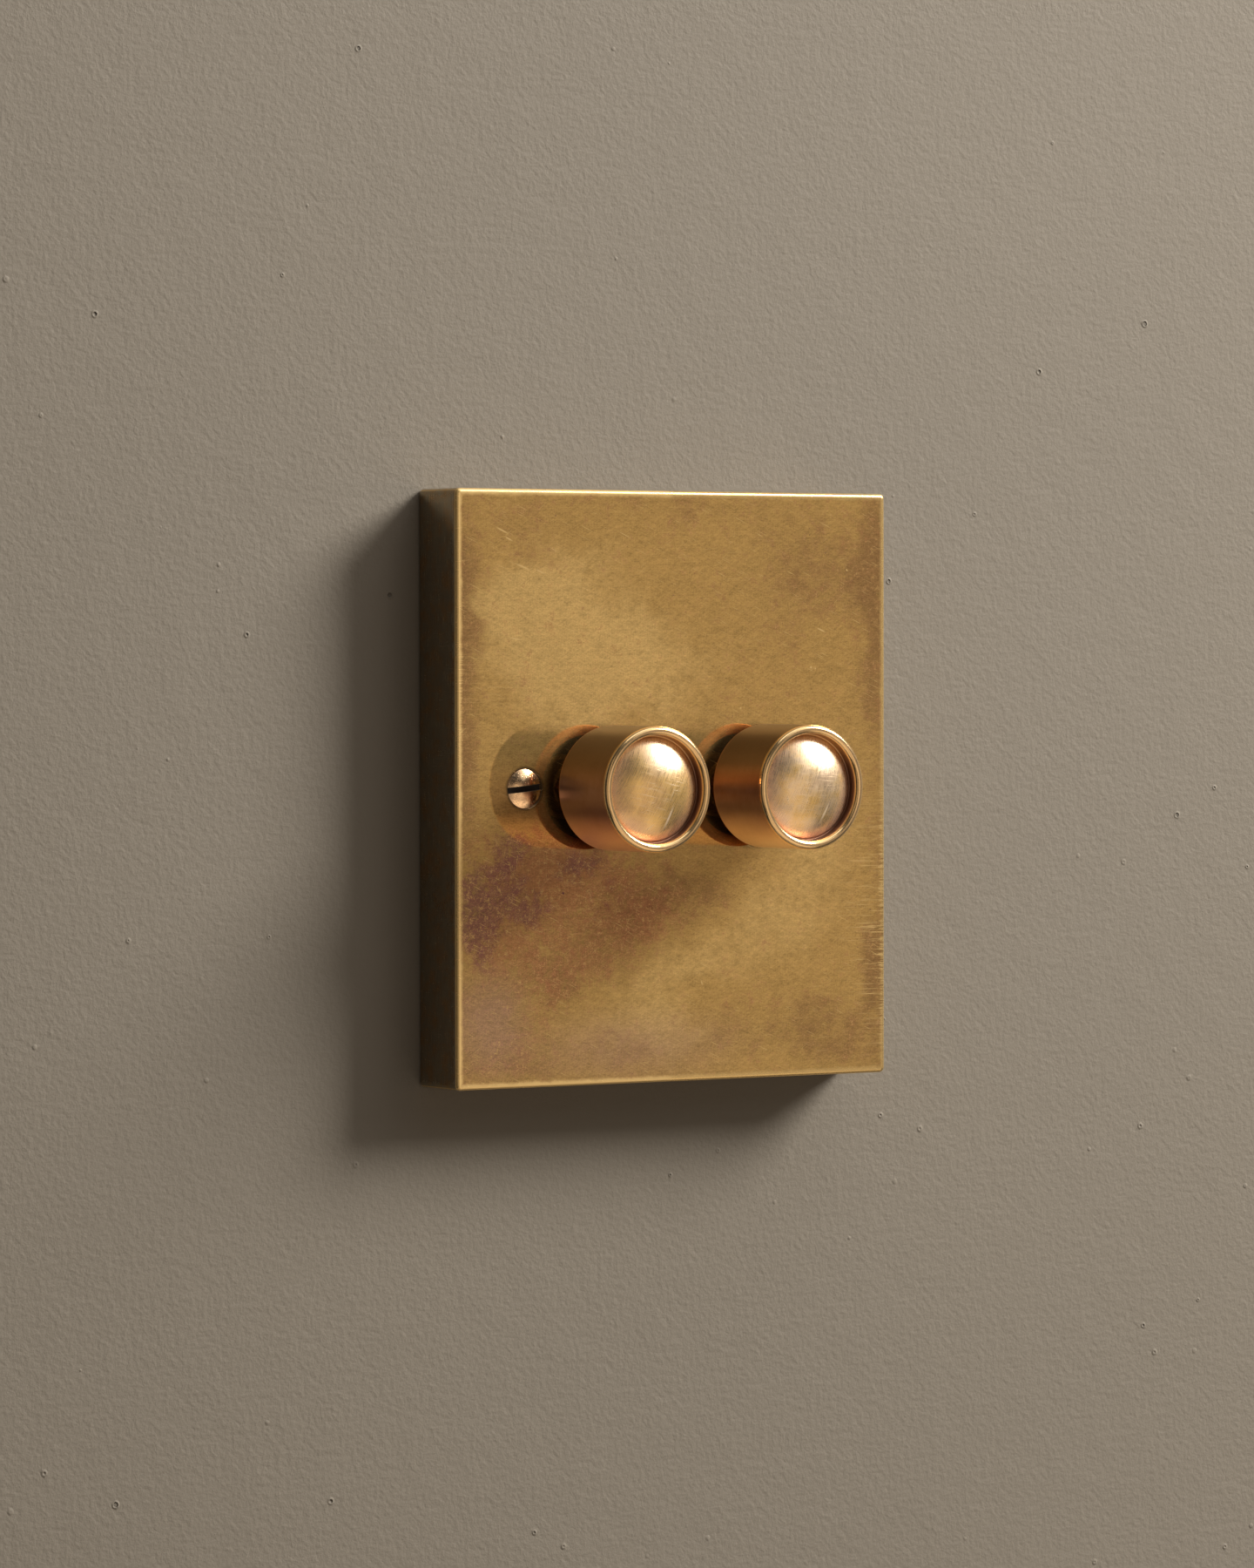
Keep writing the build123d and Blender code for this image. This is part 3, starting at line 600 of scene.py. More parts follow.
class KnobFinish(Finish):
    """A knob's finish in the making, with masks for the parts of its turned shape."""

    def __init__(self, look, side):
        super().__init__(f"{side}_knob_turned_brass")
        self.radius = (self.x * self.x + self.z * self.z) ** 0.5
        self.out = self.y * -1.0
        self.outer = look.radius / MM
        skirt = self.outer - look.skirt / MM
        back = -knob_high.y / MM
        front = back + look.reach / MM
        lip_inside = self.outer - look.lip / MM
        self.dome_edge = lip_inside - look.groove / MM
        radius, out = self.radius, self.out
        self.on_dome = 1.0 - radius.rise(self.dome_edge - 0.1, self.dome_edge + 0.05)
        past_dome = radius.rise(self.dome_edge - 0.5, self.dome_edge)
        before_lip = 1.0 - radius.rise(lip_inside + 0.02, lip_inside + 0.15)
        self.in_groove = past_dome * before_lip * (1.0 - out.rise(front - 0.9, front - 0.4))
        past_lip = radius.rise(self.outer - 0.35, self.outer - 0.1)
        self.on_side = past_lip * (1.0 - out.rise(front - 1.0, front - 0.5))
        self.on_lip = (1.0 - self.on_dome) * (1.0 - self.on_side) * (1.0 - self.in_groove)
        self.at_back = 1.0 - out.rise(back + 0.1, back + 0.5)
        within_skirt = 1.0 - radius.rise(skirt - 0.1, skirt + 0.05)
        self.in_recess = within_skirt * (1.0 - out.rise(front - 3.0, front - 2.5))


def knob_brass(look, side, turn, paleness, painted_reflection, marks):
    """Turned brass: rings on the side, a rubbed dome, a dark groove and a bright lip, with painted light and
    shade: a highlight on the dome, a darker top, a lighter bottom and a reflected red band on the side, and
    shade in the groove and the recess.
    """
    finish = KnobFinish(look, side)
    z, place, radius = finish.z, finish.place, finish.radius
    on_dome, on_side, in_groove = finish.on_dome, finish.on_side, finish.in_groove
    shift = (turn, turn * 0.7, -turn)
    shifted = finish.add("ShaderNodeVectorMath", {"operation": "ADD"}, {0: place, 1: shift})
    clouds = finish.noise(shifted, 0.22, 4.0, 0.6)
    fine = finish.noise(shifted, 1.6, 3.0, 0.65)
    rings = finish.noise(finish.join(radius * 6.0, finish.out * 6.0, clouds * 2.0), 1.0, 3.0)
    brush = finish.streaks(62.0 + turn, 3.0, 0.14)
    cross = finish.streaks(-25.0 - turn, 3.0, 0.14)
    hairs = (
        finish.streaks(-12.0 + turn, 4.0, 0.12).rise(0.60, 0.70)
        + finish.streaks(25.0 - turn, 5.0, 0.11).rise(0.63, 0.72)
    ) * (1.0 - radius.rise(3.5, 7.5))
    scratches = finish.spots(place, *marks)

    aged = radius.rise(finish.dome_edge * 0.55, finish.dome_edge) * (0.35 + clouds * 0.9)
    tone = finish.mix(clouds.rise(0.3, 0.6) * paleness, look.gold, look.pale)
    tone = finish.mix((aged * 0.8).least(1.0), tone, look.blush)
    tone = finish.mix(clouds.rise(0.45, 0.7) * 0.3, tone, look.dusk)
    # Painted highlight: lightens the dome round the place of the key light's highlight
    painted_highlight = finish.spots(place, DOME_PAINTED_HIGHLIGHT)
    tone = finish.mix(painted_highlight * (0.6 + fine * 0.6), tone, look.painted_highlight)
    tone = finish.mix(1.0 - on_dome, tone, look.bright)
    lip_middle = finish.outer - look.lip / MM * 0.5
    lip_line = 1.0 - abs(radius - lip_middle).rise(0.05, 0.3)
    tone = finish.mix(lip_line * (1.0 - on_side) * 0.25, tone, look.rose)

    side_tone = finish.mix(clouds.rise(0.4, 0.7) * 0.3, look.rose, look.dusk)
    # Painted reflection: lightens the lower part of the side
    side_tone = finish.mix((z * -1.0).rise(2.0, 10.0) * 0.7, side_tone, look.pale)
    # Painted shade: darkens the top of the side
    side_tone = finish.mix((z + (clouds - 0.5) * 3.0).rise(-1.0, 4.5) * 0.85, side_tone, look.side_top_shade)
    # Painted reflection: a red band across the middle of the side, strongest on the right knob
    band = z.rise(-0.6, 1.4) * (1.0 - z.rise(1.6, 4.4))
    side_tone = finish.mix(band * painted_reflection, side_tone, look.copper)
    tone = finish.mix(on_side, tone, side_tone)
    # Patina in the groove, partly painted shade: darker except at the top, where the light falls on it
    tone = finish.mix(in_groove * (0.9 - z.rise(2.0, 8.0) * 0.6), tone, look.dusk)
    tone = finish.shade(tone, 0.8 + rings * 0.2 + fine * 0.2 + (brush - 0.5) * on_dome * 0.6)
    tone = finish.mix((hairs * 0.7 + scratches).least(1.0), tone, look.pale)
    tone = finish.mix(finish.at_back, tone, look.copper)
    # Painted shade: darkens the recess and the insert's seat
    tone = finish.mix(finish.in_recess, tone, look.recess_shade)

    rough = look.gloss + fine * 0.08 + (brush - 0.5) * on_dome * 0.2 + in_groove * 0.12 + on_side * 0.03
    rough = rough - finish.on_lip * 0.12 + hairs * 0.08 + (finish.in_recess + finish.at_back) * 0.35
    metal = (1.0 - look.bloom) + on_side * 0.22 + finish.on_lip * 0.1 + in_groove * 0.12 - scratches * 0.3
    finish.cover(Base_Color=tone, Roughness=rough, Metallic=metal)
    height = rings * (0.1 + on_side * 0.5) + (brush + cross * 0.3) * on_dome * 0.4
    finish.bump(height + hairs * 0.6 + scratches * 1.5 + fine * 0.1, 0.003)
    return finish.material


def screw_brass(look):
    """Brass that has gone dark in its pits and round its rim, with dirt and painted shade in its slot,
    rubbed bright on the crown.
    """
    finish = Finish("fixing_screw_tarnished_brass", Metallic=1.0)
    place = finish.place
    out = finish.y * -1.0
    centre = screws_high.x / MM - look.head_radius / MM
    head = -screws_low.y / MM
    on_right = finish.x.math("GREATER_THAN", 0.0)
    across = finish.x + (1.0 - on_right * 2.0) * centre
    radius = (across * across + finish.z * finish.z) ** 0.5
    turns = (look.left_turn, look.right_turn)
    from_left, from_right = (abs(finish.z * math.cos(turn) - across * math.sin(turn)) for turn in turns)
    from_slot = from_left * (1.0 - on_right) + from_right * on_right
    half_slot = look.slot_width / 2.0 / MM
    blotch = finish.noise(place, 0.9, 4.0, 0.7)
    pits = finish.noise(place, 3.4, 2.0).rise(0.58, 0.70)
    rim = radius.rise(look.head_radius / MM - 0.5, look.head_radius / MM)
    slot = (1.0 - from_slot.rise(half_slot - 0.02, half_slot + 0.05)) * out.rise(head - 1.3, head - 1.1)
    slot_edge = (1.0 - from_slot.rise(half_slot, half_slot + 0.3)) - slot
    dark = (blotch.rise(0.46, 0.68) * 0.4 + pits * 0.4 + rim * 0.25).least(1.0)
    tone = finish.mix(dark, look.brass, look.tarnish)
    tone = finish.mix(slot_edge.most(0.0) * 0.5, tone, look.bright)
    # Dirt and painted shade fill the slot
    tone = finish.mix(slot, tone, look.dirt)
    finish.cover(Base_Color=tone, Roughness=0.2 + dark * 0.2 + slot * 0.4, Metallic=1.0 - slot * 0.9)
    finish.bump(blotch * 0.6 - pits * 0.8, 0.012)
    return finish.material


def machined_metal(name, tint, roughness, lines=(1.0, 1.0, 1.0)):
    """Bare or plated metal with tool lines; the factors stretch the lines along each axis."""
    finish = Finish(name, Metallic=1.0)
    clouds = finish.noise(finish.place, 0.35, 4.0, 0.6)
    tool = finish.noise(finish.stretch(finish.place, lines), 1.0, 3.0)
    specks = finish.noise(finish.place, 2.6, 2.0).rise(0.64, 0.76)
    darker = [channel * 0.62 for channel in tint]
    tone = finish.mix((clouds.rise(0.35, 0.75) * 0.45 + specks * 0.35).least(1.0), tint, darker)
    finish.cover(Base_Color=tone, Roughness=roughness + clouds * 0.12 + tool * 0.08)
    finish.bump(tool * 0.6 + specks * 0.3, 0.006)
    return finish.material


def moulding(name, tint, roughness, grain, depth=0.02):
    """Moulded plastic with a fine spark texture and slight clouding."""
    finish = Finish(name, Specular_IOR_Level=0.45)
    clouds = finish.noise(finish.place, 0.18, 4.0, 0.6)
    texture = finish.noise(finish.place, grain, 3.0, 0.6)
    paler = [channel * 1.35 + 0.004 for channel in tint]
    tone = finish.mix(clouds.rise(0.3, 0.7) * 0.7 + texture * 0.3, tint, paler)
    finish.cover(Base_Color=tone, Roughness=roughness + texture * 0.14 + clouds * 0.08)
    finish.bump(texture, depth)
    return finish.material


def board_resist(tint):
    """Solder resist over faint copper tracks."""
    finish = Finish("circuit_board_resist", Specular_IOR_Level=0.5)
    cells = finish.add(
        "ShaderNodeTexVoronoi",
        {"distance": "MANHATTAN", "feature": "DISTANCE_TO_EDGE"},
        {"Vector": finish.place, "Scale": 0.42},
    )
    tracks = cells.rise(0.05, 0.09)
    weave = finish.noise(finish.place, 2.2, 2.0)
    paler = [channel * 1.9 for channel in tint]
    tone = finish.mix(tracks * 0.8 + weave * 0.2, tint, paler)
    finish.cover(Base_Color=tone, Roughness=0.32 + weave * 0.15)
    finish.bump(tracks * 0.6 + weave * 0.2, 0.03)
    return finish.material


def wall_paint(tint):
    """Flat wall paint with a fine roller texture and a few pin holes."""
    finish = Finish("wall_paint", Specular_IOR_Level=0.3)
    roller = finish.noise(finish.place, 0.9, 4.0, 0.6)
    ripple = finish.noise(finish.place, 0.14, 3.0, 0.5)
    patch = finish.noise(finish.place, 0.02, 2.0).rise(0.35, 0.62)
    cells = finish.add("ShaderNodeTexVoronoi", None, {"Vector": finish.place, "Scale": 0.13})
    hole = 1.0 - (cells + patch * 0.1).rise(0.035, 0.065)
    rim = (1.0 - (cells + patch * 0.1).rise(0.065, 0.11)) - hole
    broad = finish.noise(finish.place, 0.012, 2.0)
    paler = [channel * 1.08 for channel in tint]
    tone = finish.mix(broad * 0.6 + roller * 0.4, tint, paler)
    # Painted shade: darkens the pin holes
    tone = finish.mix(hole * 0.5, tone, [channel * 0.4 for channel in tint])
    finish.cover(Base_Color=tone, Roughness=0.62 + roller * 0.1)
    finish.bump(roller + ripple * 0.8 - hole * 1.5 + rim * 0.6, 0.16)
    return finish.material


def floor_paint(tint):
    """Pale floor with a slight cloud in it."""
    finish = Finish("floor_paint", Specular_IOR_Level=0.3)
    broad = finish.noise(finish.place, 0.004, 3.0)
    tone = finish.mix(broad, tint, [channel * 0.95 for channel in tint])
    finish.cover(Base_Color=tone, Roughness=0.6 + broad * 0.1)
    return finish.material


def arc(centre, radius, start, end, steps):
    """Points on an arc of a profile, from one angle in degrees to another."""
    angles = [math.radians(start + (end - start) * n / steps) for n in range(steps + 1)]
    return [(centre[0] + radius * math.cos(a), centre[1] + radius * math.sin(a)) for a in angles]


def ramp(start, end, steps):
    """Points on a straight run of a profile, without its last one."""
    return [
        (start[0] + (end[0] - start[0]) * n / steps, start[1] + (end[1] - start[1]) * n / steps)
        for n in range(steps)
    ]


def lathe(mesh, profile, segments, centre=(0.0, 0.0), thread=(0.0, 0.0, 1.0, 0.0)):
    """Turns a closed profile of (radius, out) points about an axis that faces the viewer.

    A thread is given as (start, end, pitch, depth) and cut where a ring lies between start and end.
    """
    start, end, pitch, depth = thread
    on_axis = 1e-6
    rings = []
    for radius, out in profile:
        ring = []
        for n in range(segments if radius > on_axis else 1):
            turn = n / segments
            cut = 0.0
            if start < out < end:
                wave = abs(2.0 * ((out / pitch + turn) % 1.0) - 1.0)
                cut = depth * min(1.0, max(0.0, wave * THREAD_STEEPNESS - THREAD_CUT_OFF))
            a = 2.0 * math.pi * turn
            r = radius - cut
            place = ((centre[0] + r * math.sin(a)) * MM, -out * MM, (centre[1] + r * math.cos(a)) * MM)
            ring.append(mesh.verts.new(place))
        rings.append(ring)
    for near, far in zip(rings, rings[1:] + rings[:1]):
        for n in range(segments):
            near_side = [near[n % len(near)], near[(n + 1) % len(near)]]
            far_side = [far[(n + 1) % len(far)], far[n % len(far)]]
            corners = list(dict.fromkeys(near_side + far_side))
            if len(corners) > 2:
                mesh.faces.new(corners)


def sweep_wire(mesh, path, radius, sides=10):
    """Bends a round wire along a path of points in metres, and closes its ends."""
    rings = []
    side = None
    for n, point in enumerate(path):
        ahead = (path[min(n + 1, len(path) - 1)] - path[max(n - 1, 0)]).normalized()
        side = side or ahead.orthogonal()
        side = (side - ahead * side.dot(ahead)).normalized()
        other = ahead.cross(side)
        ring = []
        for k in range(sides):
            a = 2.0 * math.pi * k / sides
            ring.append(mesh.verts.new(point + (side * math.cos(a) + other * math.sin(a)) * radius))
        rings.append(ring)
    for near, far in zip(rings, rings[1:]):
        for k in range(sides):
            mesh.faces.new((near[k], near[(k + 1) % sides], far[(k + 1) % sides], far[k]))
    mesh.faces.new(rings[0])
    mesh.faces.new(rings[-1])


def box_cutter(mesh, centre, size, turn):
    """Adds a box whose sizes are (width, depth, height), turned about an axis that faces the viewer."""
    matrix = Matrix.Translation(centre) @ Matrix.Rotation(-turn, 4, "Y") @ Matrix.Diagonal((*size, 1.0))
    bmesh.ops.create_cube(mesh, size=1.0, matrix=matrix)


def cut_away(mesh, cutter):
    """Takes one edit mesh out of another and gives the result as a new edit mesh."""
    solids = []
    for edit in (mesh, cutter):
        bmesh.ops.recalc_face_normals(edit, faces=edit.faces)
        data = bpy.data.meshes.new("blank")
        edit.to_mesh(data)
        edit.free()
        solid = bpy.data.objects.new("blank", data)
        bpy.context.scene.collection.objects.link(solid)
        solids.append(solid)
    blank, tool = solids
    modifier = blank.modifiers.new("cut", "BOOLEAN")
    modifier.operation = "DIFFERENCE"
    modifier.solver = "EXACT"
    modifier.object = tool
    depsgraph = bpy.context.evaluated_depsgraph_get()
    result = bpy.data.meshes.new_from_object(blank.evaluated_get(depsgraph))
    left = bmesh.new()
    left.from_mesh(result)
    for solid in solids:
        data = solid.data
        bpy.data.objects.remove(solid)
        bpy.data.meshes.remove(data)
    bpy.data.meshes.remove(result)
    return left


def set_piece(name, mesh, material, body, stands_for, x=0.0):
    """Makes an edit mesh a named piece that rides on a body and stands for solids of the frame."""
    bmesh.ops.recalc_face_normals(mesh, faces=mesh.faces)
    for face in mesh.faces:
        face.smooth = True
    for edge in mesh.edges:
        edge.smooth = edge.calc_face_angle(math.pi) < SHARP_EDGE
    data = bpy.data.meshes.new(name)
    mesh.to_mesh(data)
    mesh.free()
    data.materials.append(material)
    piece = bpy.data.objects.new(name, data)
    bpy.context.scene.collection.objects.link(piece)
    piece.location.x = x
    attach(piece, body)
    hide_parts(*stands_for)
    return piece


def dress(material, *nodes):
    """Gives solids of the frame a finish."""
    for node in nodes:
        slots = frame["nodes"][node].data.materials
        slots.clear()
        slots.append(material)


def both(piece):
    return [f"{side}_{piece}" for side in SIDES]


class DIMMER_OT_plate(bpy.types.Operator):
    """Gives the face plate its aged brass"""

    bl_idname = "dimmer.plate"
    bl_label = "Face plate"

    def execute(self, context):
        dress(plate_brass(context.scene.dimmer_plate), "face_plate")
        return {"FINISHED"}


def knob_profile(look):
    """Outline of a knob as (radius, out) points: dome, groove, lip, side, back edge, recess and seat."""
    back = -knob_high.y / MM
    top = -knob_low.y / MM
    radius = look.radius / MM
    front = back + look.reach / MM
    bead = look.lip / 2.0 / MM
    lip_inside = radius - 2.0 * bead
    dome_radius = lip_inside - look.groove / MM
    floor = front - look.groove_depth / MM
    dome_edge = floor + look.dome_step / MM
    rise = top - dome_edge
    recess = back + look.recess / MM
    seat = recess + look.insert_depth / MM
    recess_radius = radius - look.skirt / MM
    insert_radius = look.insert_radius / MM
    groove_round, foot_round, skirt_round, recess_round = 0.12, 0.25, 0.20, 0.40
    dome_break = 0.04
    steps = 48
    dome = [
        (dome_radius * n / steps, dome_edge + rise * (1.0 - (n / steps) ** look.crown)) for n in range(steps)
    ]
    return (
        dome
        + [(dome_radius - dome_break, dome_edge + dome_break / 2.0), (dome_radius, dome_edge - dome_break)]
        + arc((dome_radius + groove_round, floor + groove_round), groove_round, 180.0, 270.0, 4)
        + arc((lip_inside - groove_round, floor + groove_round), groove_round, 270.0, 360.0, 4)
        + ramp((lip_inside, floor + 2.0 * groove_round), (lip_inside, front - bead), 4)
        + arc((radius - bead, front - bead), bead, 180.0, 0.0, 24)
        + ramp((radius, front - 1.2 * bead), (radius, back + foot_round), 24)
        + arc((radius - foot_round, back + foot_round), foot_round, 0.0, -90.0, 5)
        + arc((recess_radius + skirt_round, back + skirt_round), skirt_round, 270.0, 180.0, 4)
        + [(recess_radius, (back + recess) / 2.0), (recess_radius, recess - recess_round)]
        + arc((recess_radius - recess_round, recess - recess_round), recess_round, 0.0, 90.0, 4)
        + [(insert_radius, recess), (insert_radius, seat), (0.0, seat)]
    )


class DIMMER_OT_knobs(bpy.types.Operator):
    """Turns the two knobs with their lip, groove and dome"""

    bl_idname = "dimmer.knobs"
    bl_label = "Knobs"

    def execute(self, context):
        look = context.scene.dimmer_knobs
        profile = knob_profile(look)
        noise_turns = (0.0, 7.3)
        paleness = (0.15, 0.9)
        # Strength of the painted reflection band on each knob's side
        painted_reflection = (0.1, 0.5)
        for side, *finish in zip(SIDES, noise_turns, paleness, painted_reflection, DOME_MARKS):
            mesh = bmesh.new()
            lathe(mesh, profile, look.segments)
            set_piece(
                f"{side}_turned_knob", mesh, knob_brass(look, side, *finish), f"{side}_dial",
                [f"{side}_knob"], gang_x[side],
            )
        return {"FINISHED"}


class DIMMER_OT_fixing_screws(bpy.types.Operator):
    """Makes the two slotted screws with their threads"""

    bl_idname = "dimmer.fixing_screws"
    bl_label = "Fixing screws"

    def execute(self, context):
        look = context.scene.dimmer_screws
        top = -screws_low.y / MM
        tip = -screws_high.y / MM
        head = look.head_radius / MM
        pitch = look.pitch / MM
        plain_run, tip_break = 4.0, 0.5
        facets = 56
        start = -plate_low.y / MM - plain_run
        profile = self.profile(look, top, tip, start, tip_break)
        thread = (tip + tip_break, start, pitch, look.thread_depth / MM)
        slot = (2.4 * look.head_radius, 2.0 * look.slot_depth, look.slot_width)
        whole = bmesh.new()
        places = (screws_low.x / MM + head, screws_high.x / MM - head)
        for place, turn in zip(places, (look.left_turn, look.right_turn)):
            mesh = bmesh.new()
            lathe(mesh, profile, facets, (place, 0.0), thread)
            cutter = bmesh.new()
            box_cutter(cutter, (place * MM, -top * MM, 0.0), slot, turn)
            slotted = cut_away(mesh, cutter)
            data = bpy.data.meshes.new("slotted")
            slotted.to_mesh(data)
            slotted.free()
            whole.from_mesh(data)
            bpy.data.meshes.remove(data)
        set_piece(
            "threaded_fixing_screws", whole, screw_brass(look), "base", ["fixing_screws"]
        )
        return {"FINISHED"}

    def profile(self, look, top, tip, start, tip_break):
        """Outline of a screw from its crown to its tip, with rings for the thread to be cut in."""
        head = look.head_radius / MM
        rise = look.head_rise / MM
        rim = top - rise
        shank = look.shank_radius / MM
        outer = look.thread_radius / MM
        cone_foot = rim - (head - shank)
        sphere = (head**2 + rise**2) / (2.0 * rise)
        half_angle = math.degrees(math.asin(head / sphere))
        crown = arc((0.0, top - sphere), sphere, 90.0, 90.0 - half_angle, 14)
        rim_in, rim_up, rim_down = 0.03, 0.02, 0.04
        rings_per_turn = 8.0
        rings = round((start - tip - tip_break) / (look.pitch / MM) * rings_per_turn)
        return (
            [(0.0, top)]
            + crown[1:-1]
            + [(head - rim_in, rim + rim_up), (head, rim - rim_down)]
            + [(shank, cone_foot), (shank, start), (outer, start)]
            + ramp((outer, start), (outer, tip + tip_break), rings)[1:]
            + [(outer, tip + tip_break), (outer - tip_break, tip), (0.0, tip)]
        )


class DIMMER_OT_clamping(bpy.types.Operator):
    """Makes the threaded bushes and finishes their nuts and washers"""

    bl_idname = "dimmer.clamping"
    bl_label = "Bushes, nuts and washers"

    def execute(self, context):
        look = context.scene.dimmer_works
        brass = machined_metal("bush_machined_brass", look.brass, 0.22, (0.4, 9.0, 0.4))
        front = -bush_low.y / MM
        back = -bush_high.y / MM
        flange = (bush_high.x - bush_low.x) / 2.0 / MM
        bore, outer = 3.05, 5.0
        pitch, depth, run_out = 0.75, 0.38, 0.4
        flange_thick, end_break = 1.5, 0.5
        start = back + flange_thick
        end = front - end_break
        rings_per_turn = 10.0
        facets = 72
        profile = (
            [(bore, back), (flange, back), (flange, start), (outer, start)]
            + ramp((outer, start), (outer, end), round((end - start) / pitch * rings_per_turn))[1:]
            + [(outer, end), (outer - end_break, front), (bore, front)]
        )
        for side in SIDES:
            mesh = bmesh.new()
            lathe(mesh, profile, facets, thread=(start + run_out, end, pitch, depth))
            set_piece(
                f"{side}_threaded_bush", mesh, brass, "base", [f"{side}_bush"], gang_x[side]
            )
        dress(brass, *both("nut"))
        dress(machined_metal("washer_plated_steel", look.steel, 0.25, (1.5, 1.5, 1.5)), *both("washer"))
        return {"FINISHED"}


class DIMMER_OT_spindles(bpy.types.Operator):
    """Finishes the spindles and the grip inserts on them"""

    bl_idname = "dimmer.spindles"
    bl_label = "Spindles and inserts"

    def execute(self, context):
        look = context.scene.dimmer_works
        dress(machined_metal("spindle_ground_steel", look.steel, 0.2, (0.5, 8.0, 0.5)), *both("spindle"))
        dress(moulding("insert_natural_nylon", look.nylon, 0.42, 2.5, 0.01), *both("knob_insert"))
        return {"FINISHED"}


class DIMMER_OT_cases(bpy.types.Operator):
    """Finishes the module cases, their closing plates and case screws"""

    bl_idname = "dimmer.cases"
    bl_label = "Module cases"

    def execute(self, context):
        look = context.scene.dimmer_works
        dress(moulding("case_black_moulding", look.case, 0.5, 3.0, 0.03), *both("case"))
        rolled = machined_metal("heat_plate_rolled_aluminium", look.aluminium, 0.3, (6.0, 6.0, 0.25))
        dress(rolled, *both("heat_plate"))
        plated = machined_metal("case_screw_plated_steel", look.steel, 0.28, (2.0, 2.0, 2.0))
        dress(plated, *both("case_screws"))
        return {"FINISHED"}


class DIMMER_OT_terminals(bpy.types.Operator):
    """Finishes the terminal blocks and their clamp screws, and the earth terminal"""

    bl_idname = "dimmer.terminals"
    bl_label = "Terminals"

    def execute(self, context):
        look = context.scene.dimmer_works
        brass = machined_metal("terminal_machined_brass", look.brass, 0.24, (0.5, 5.0, 5.0))
        dress(brass, *both("terminals"), "earth_terminal")
        plated = machined_metal("clamp_screw_plated_steel", look.steel, 0.26, (2.0, 0.6, 2.0))
        dress(plated, *both("terminal_screws"), "earth_screw")
        return {"FINISHED"}


class DIMMER_OT_works(bpy.types.Operator):
    """Finishes the potentiometers, switches, boards and components inside the cases"""

    bl_idname = "dimmer.works"
    bl_label = "Works inside the cases"

    def execute(self, context):
        look = context.scene.dimmer_works
        dress(moulding("housing_moulding", look.pot, 0.45, 3.0), *both("pot_body"), *both("switch_body"))
        nylon = moulding("working_nylon", look.nylon, 0.38, 2.0, 0.01)
        dress(nylon, *both("pot_rotor"), *both("switch_plunger"))
        dress(moulding("wafer_phenolic", look.phenolic, 0.5, 6.0), *both("pot_wafer"))
        dress(board_resist(look.board), *both("circuit_board"))
        dress(moulding("capacitor_moulding", look.film, 0.25, 1.5, 0.01), *both("capacitor"))
        dress(moulding("triac_epoxy", look.epoxy, 0.5, 5.0), *both("triac"))
        return {"FINISHED"}


class DIMMER_OT_chokes(bpy.types.Operator):
    """Winds the two chokes"""

    bl_idname = "dimmer.chokes"
    bl_label = "Chokes"

    def execute(self, context):
        look = context.scene.dimmer_works
        winding = machined_metal("choke_enamelled_copper", look.copper, 0.2)
        turns, open_turns, steps = 26, 2, 40
        wire = 0.00036
        inside = 0.0032
        squareness = 0.45
        outside = (choke_high.x - choke_low.x) / 2.0
        low, high = choke_low.y, choke_high.y
        ring = (outside + inside) / 2.0
        half_width = (outside - inside) / 2.0 - wire
        half_depth = (high - low) / 2.0 - wire
        core_inset, core_facets = 0.001, 64
        core_radii = ((outside - core_inset) / MM, (inside + core_inset) / MM)
        core_ends = (-(low + core_inset) / MM, -(high - core_inset) / MM)
        core = [
            (core_radii[0], core_ends[0]),
            (core_radii[0], core_ends[1]),
            (core_radii[1], core_ends[1]),
            (core_radii[1], core_ends[0]),
        ]
        for side in SIDES:
            centre = middle(f"{side}_choke")
            path = []
            for n in range((turns - open_turns) * steps):
                around = 2.0 * math.pi * n / (turns * steps)
                section = 2.0 * math.pi * n / steps
                c, s = math.cos(section), math.sin(section)
                radial = ring + half_width * math.copysign(abs(c) ** squareness, c)
                deep = half_depth * math.copysign(abs(s) ** squareness, s)
                place = (radial * math.sin(around), centre.y + deep, centre.z + radial * math.cos(around))
                path.append(Vector(place))
            mesh = bmesh.new()
            sweep_wire(mesh, path, wire, sides=8)
            lathe(mesh, core, core_facets, (0.0, centre.z / MM))
            set_piece(
                f"{side}_wound_choke", mesh, winding, "base", [f"{side}_choke"],
                gang_x[side],
            )
        return {"FINISHED"}


class DIMMER_OT_springs(bpy.types.Operator):
    """Winds the return springs"""

    bl_idname = "dimmer.springs"
    bl_label = "Return springs"

    def execute(self, context):
        look = context.scene.dimmer_works
        steel = machined_metal("spring_drawn_steel", look.steel, 0.25, (2.0, 2.0, 2.0))
        wire = 0.00028
        slack = 0.00002
        turns, steps = 3.0, 144
        coil = (spring_high.x - spring_low.x) / 2.0 - wire - slack
        tall = spring_high.y - spring_low.y
        path = []
        for n in range(steps + 1):
            around = 2.0 * math.pi * turns * n / steps
            rise = wire + (tall - 2.0 * wire) * n / steps
            path.append(Vector((coil * math.cos(around), spring_high.y - rise, coil * math.sin(around))))
        for side in SIDES:
            mesh = bmesh.new()
            sweep_wire(mesh, path, wire)
            spring = set_piece(
                f"{side}_wound_spring", mesh, steel, "base", [f"{side}_return_spring"],
                gang_x[side],
            )
            1.0 - push_travel / tall
            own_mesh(spring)
        return {"FINISHED"}


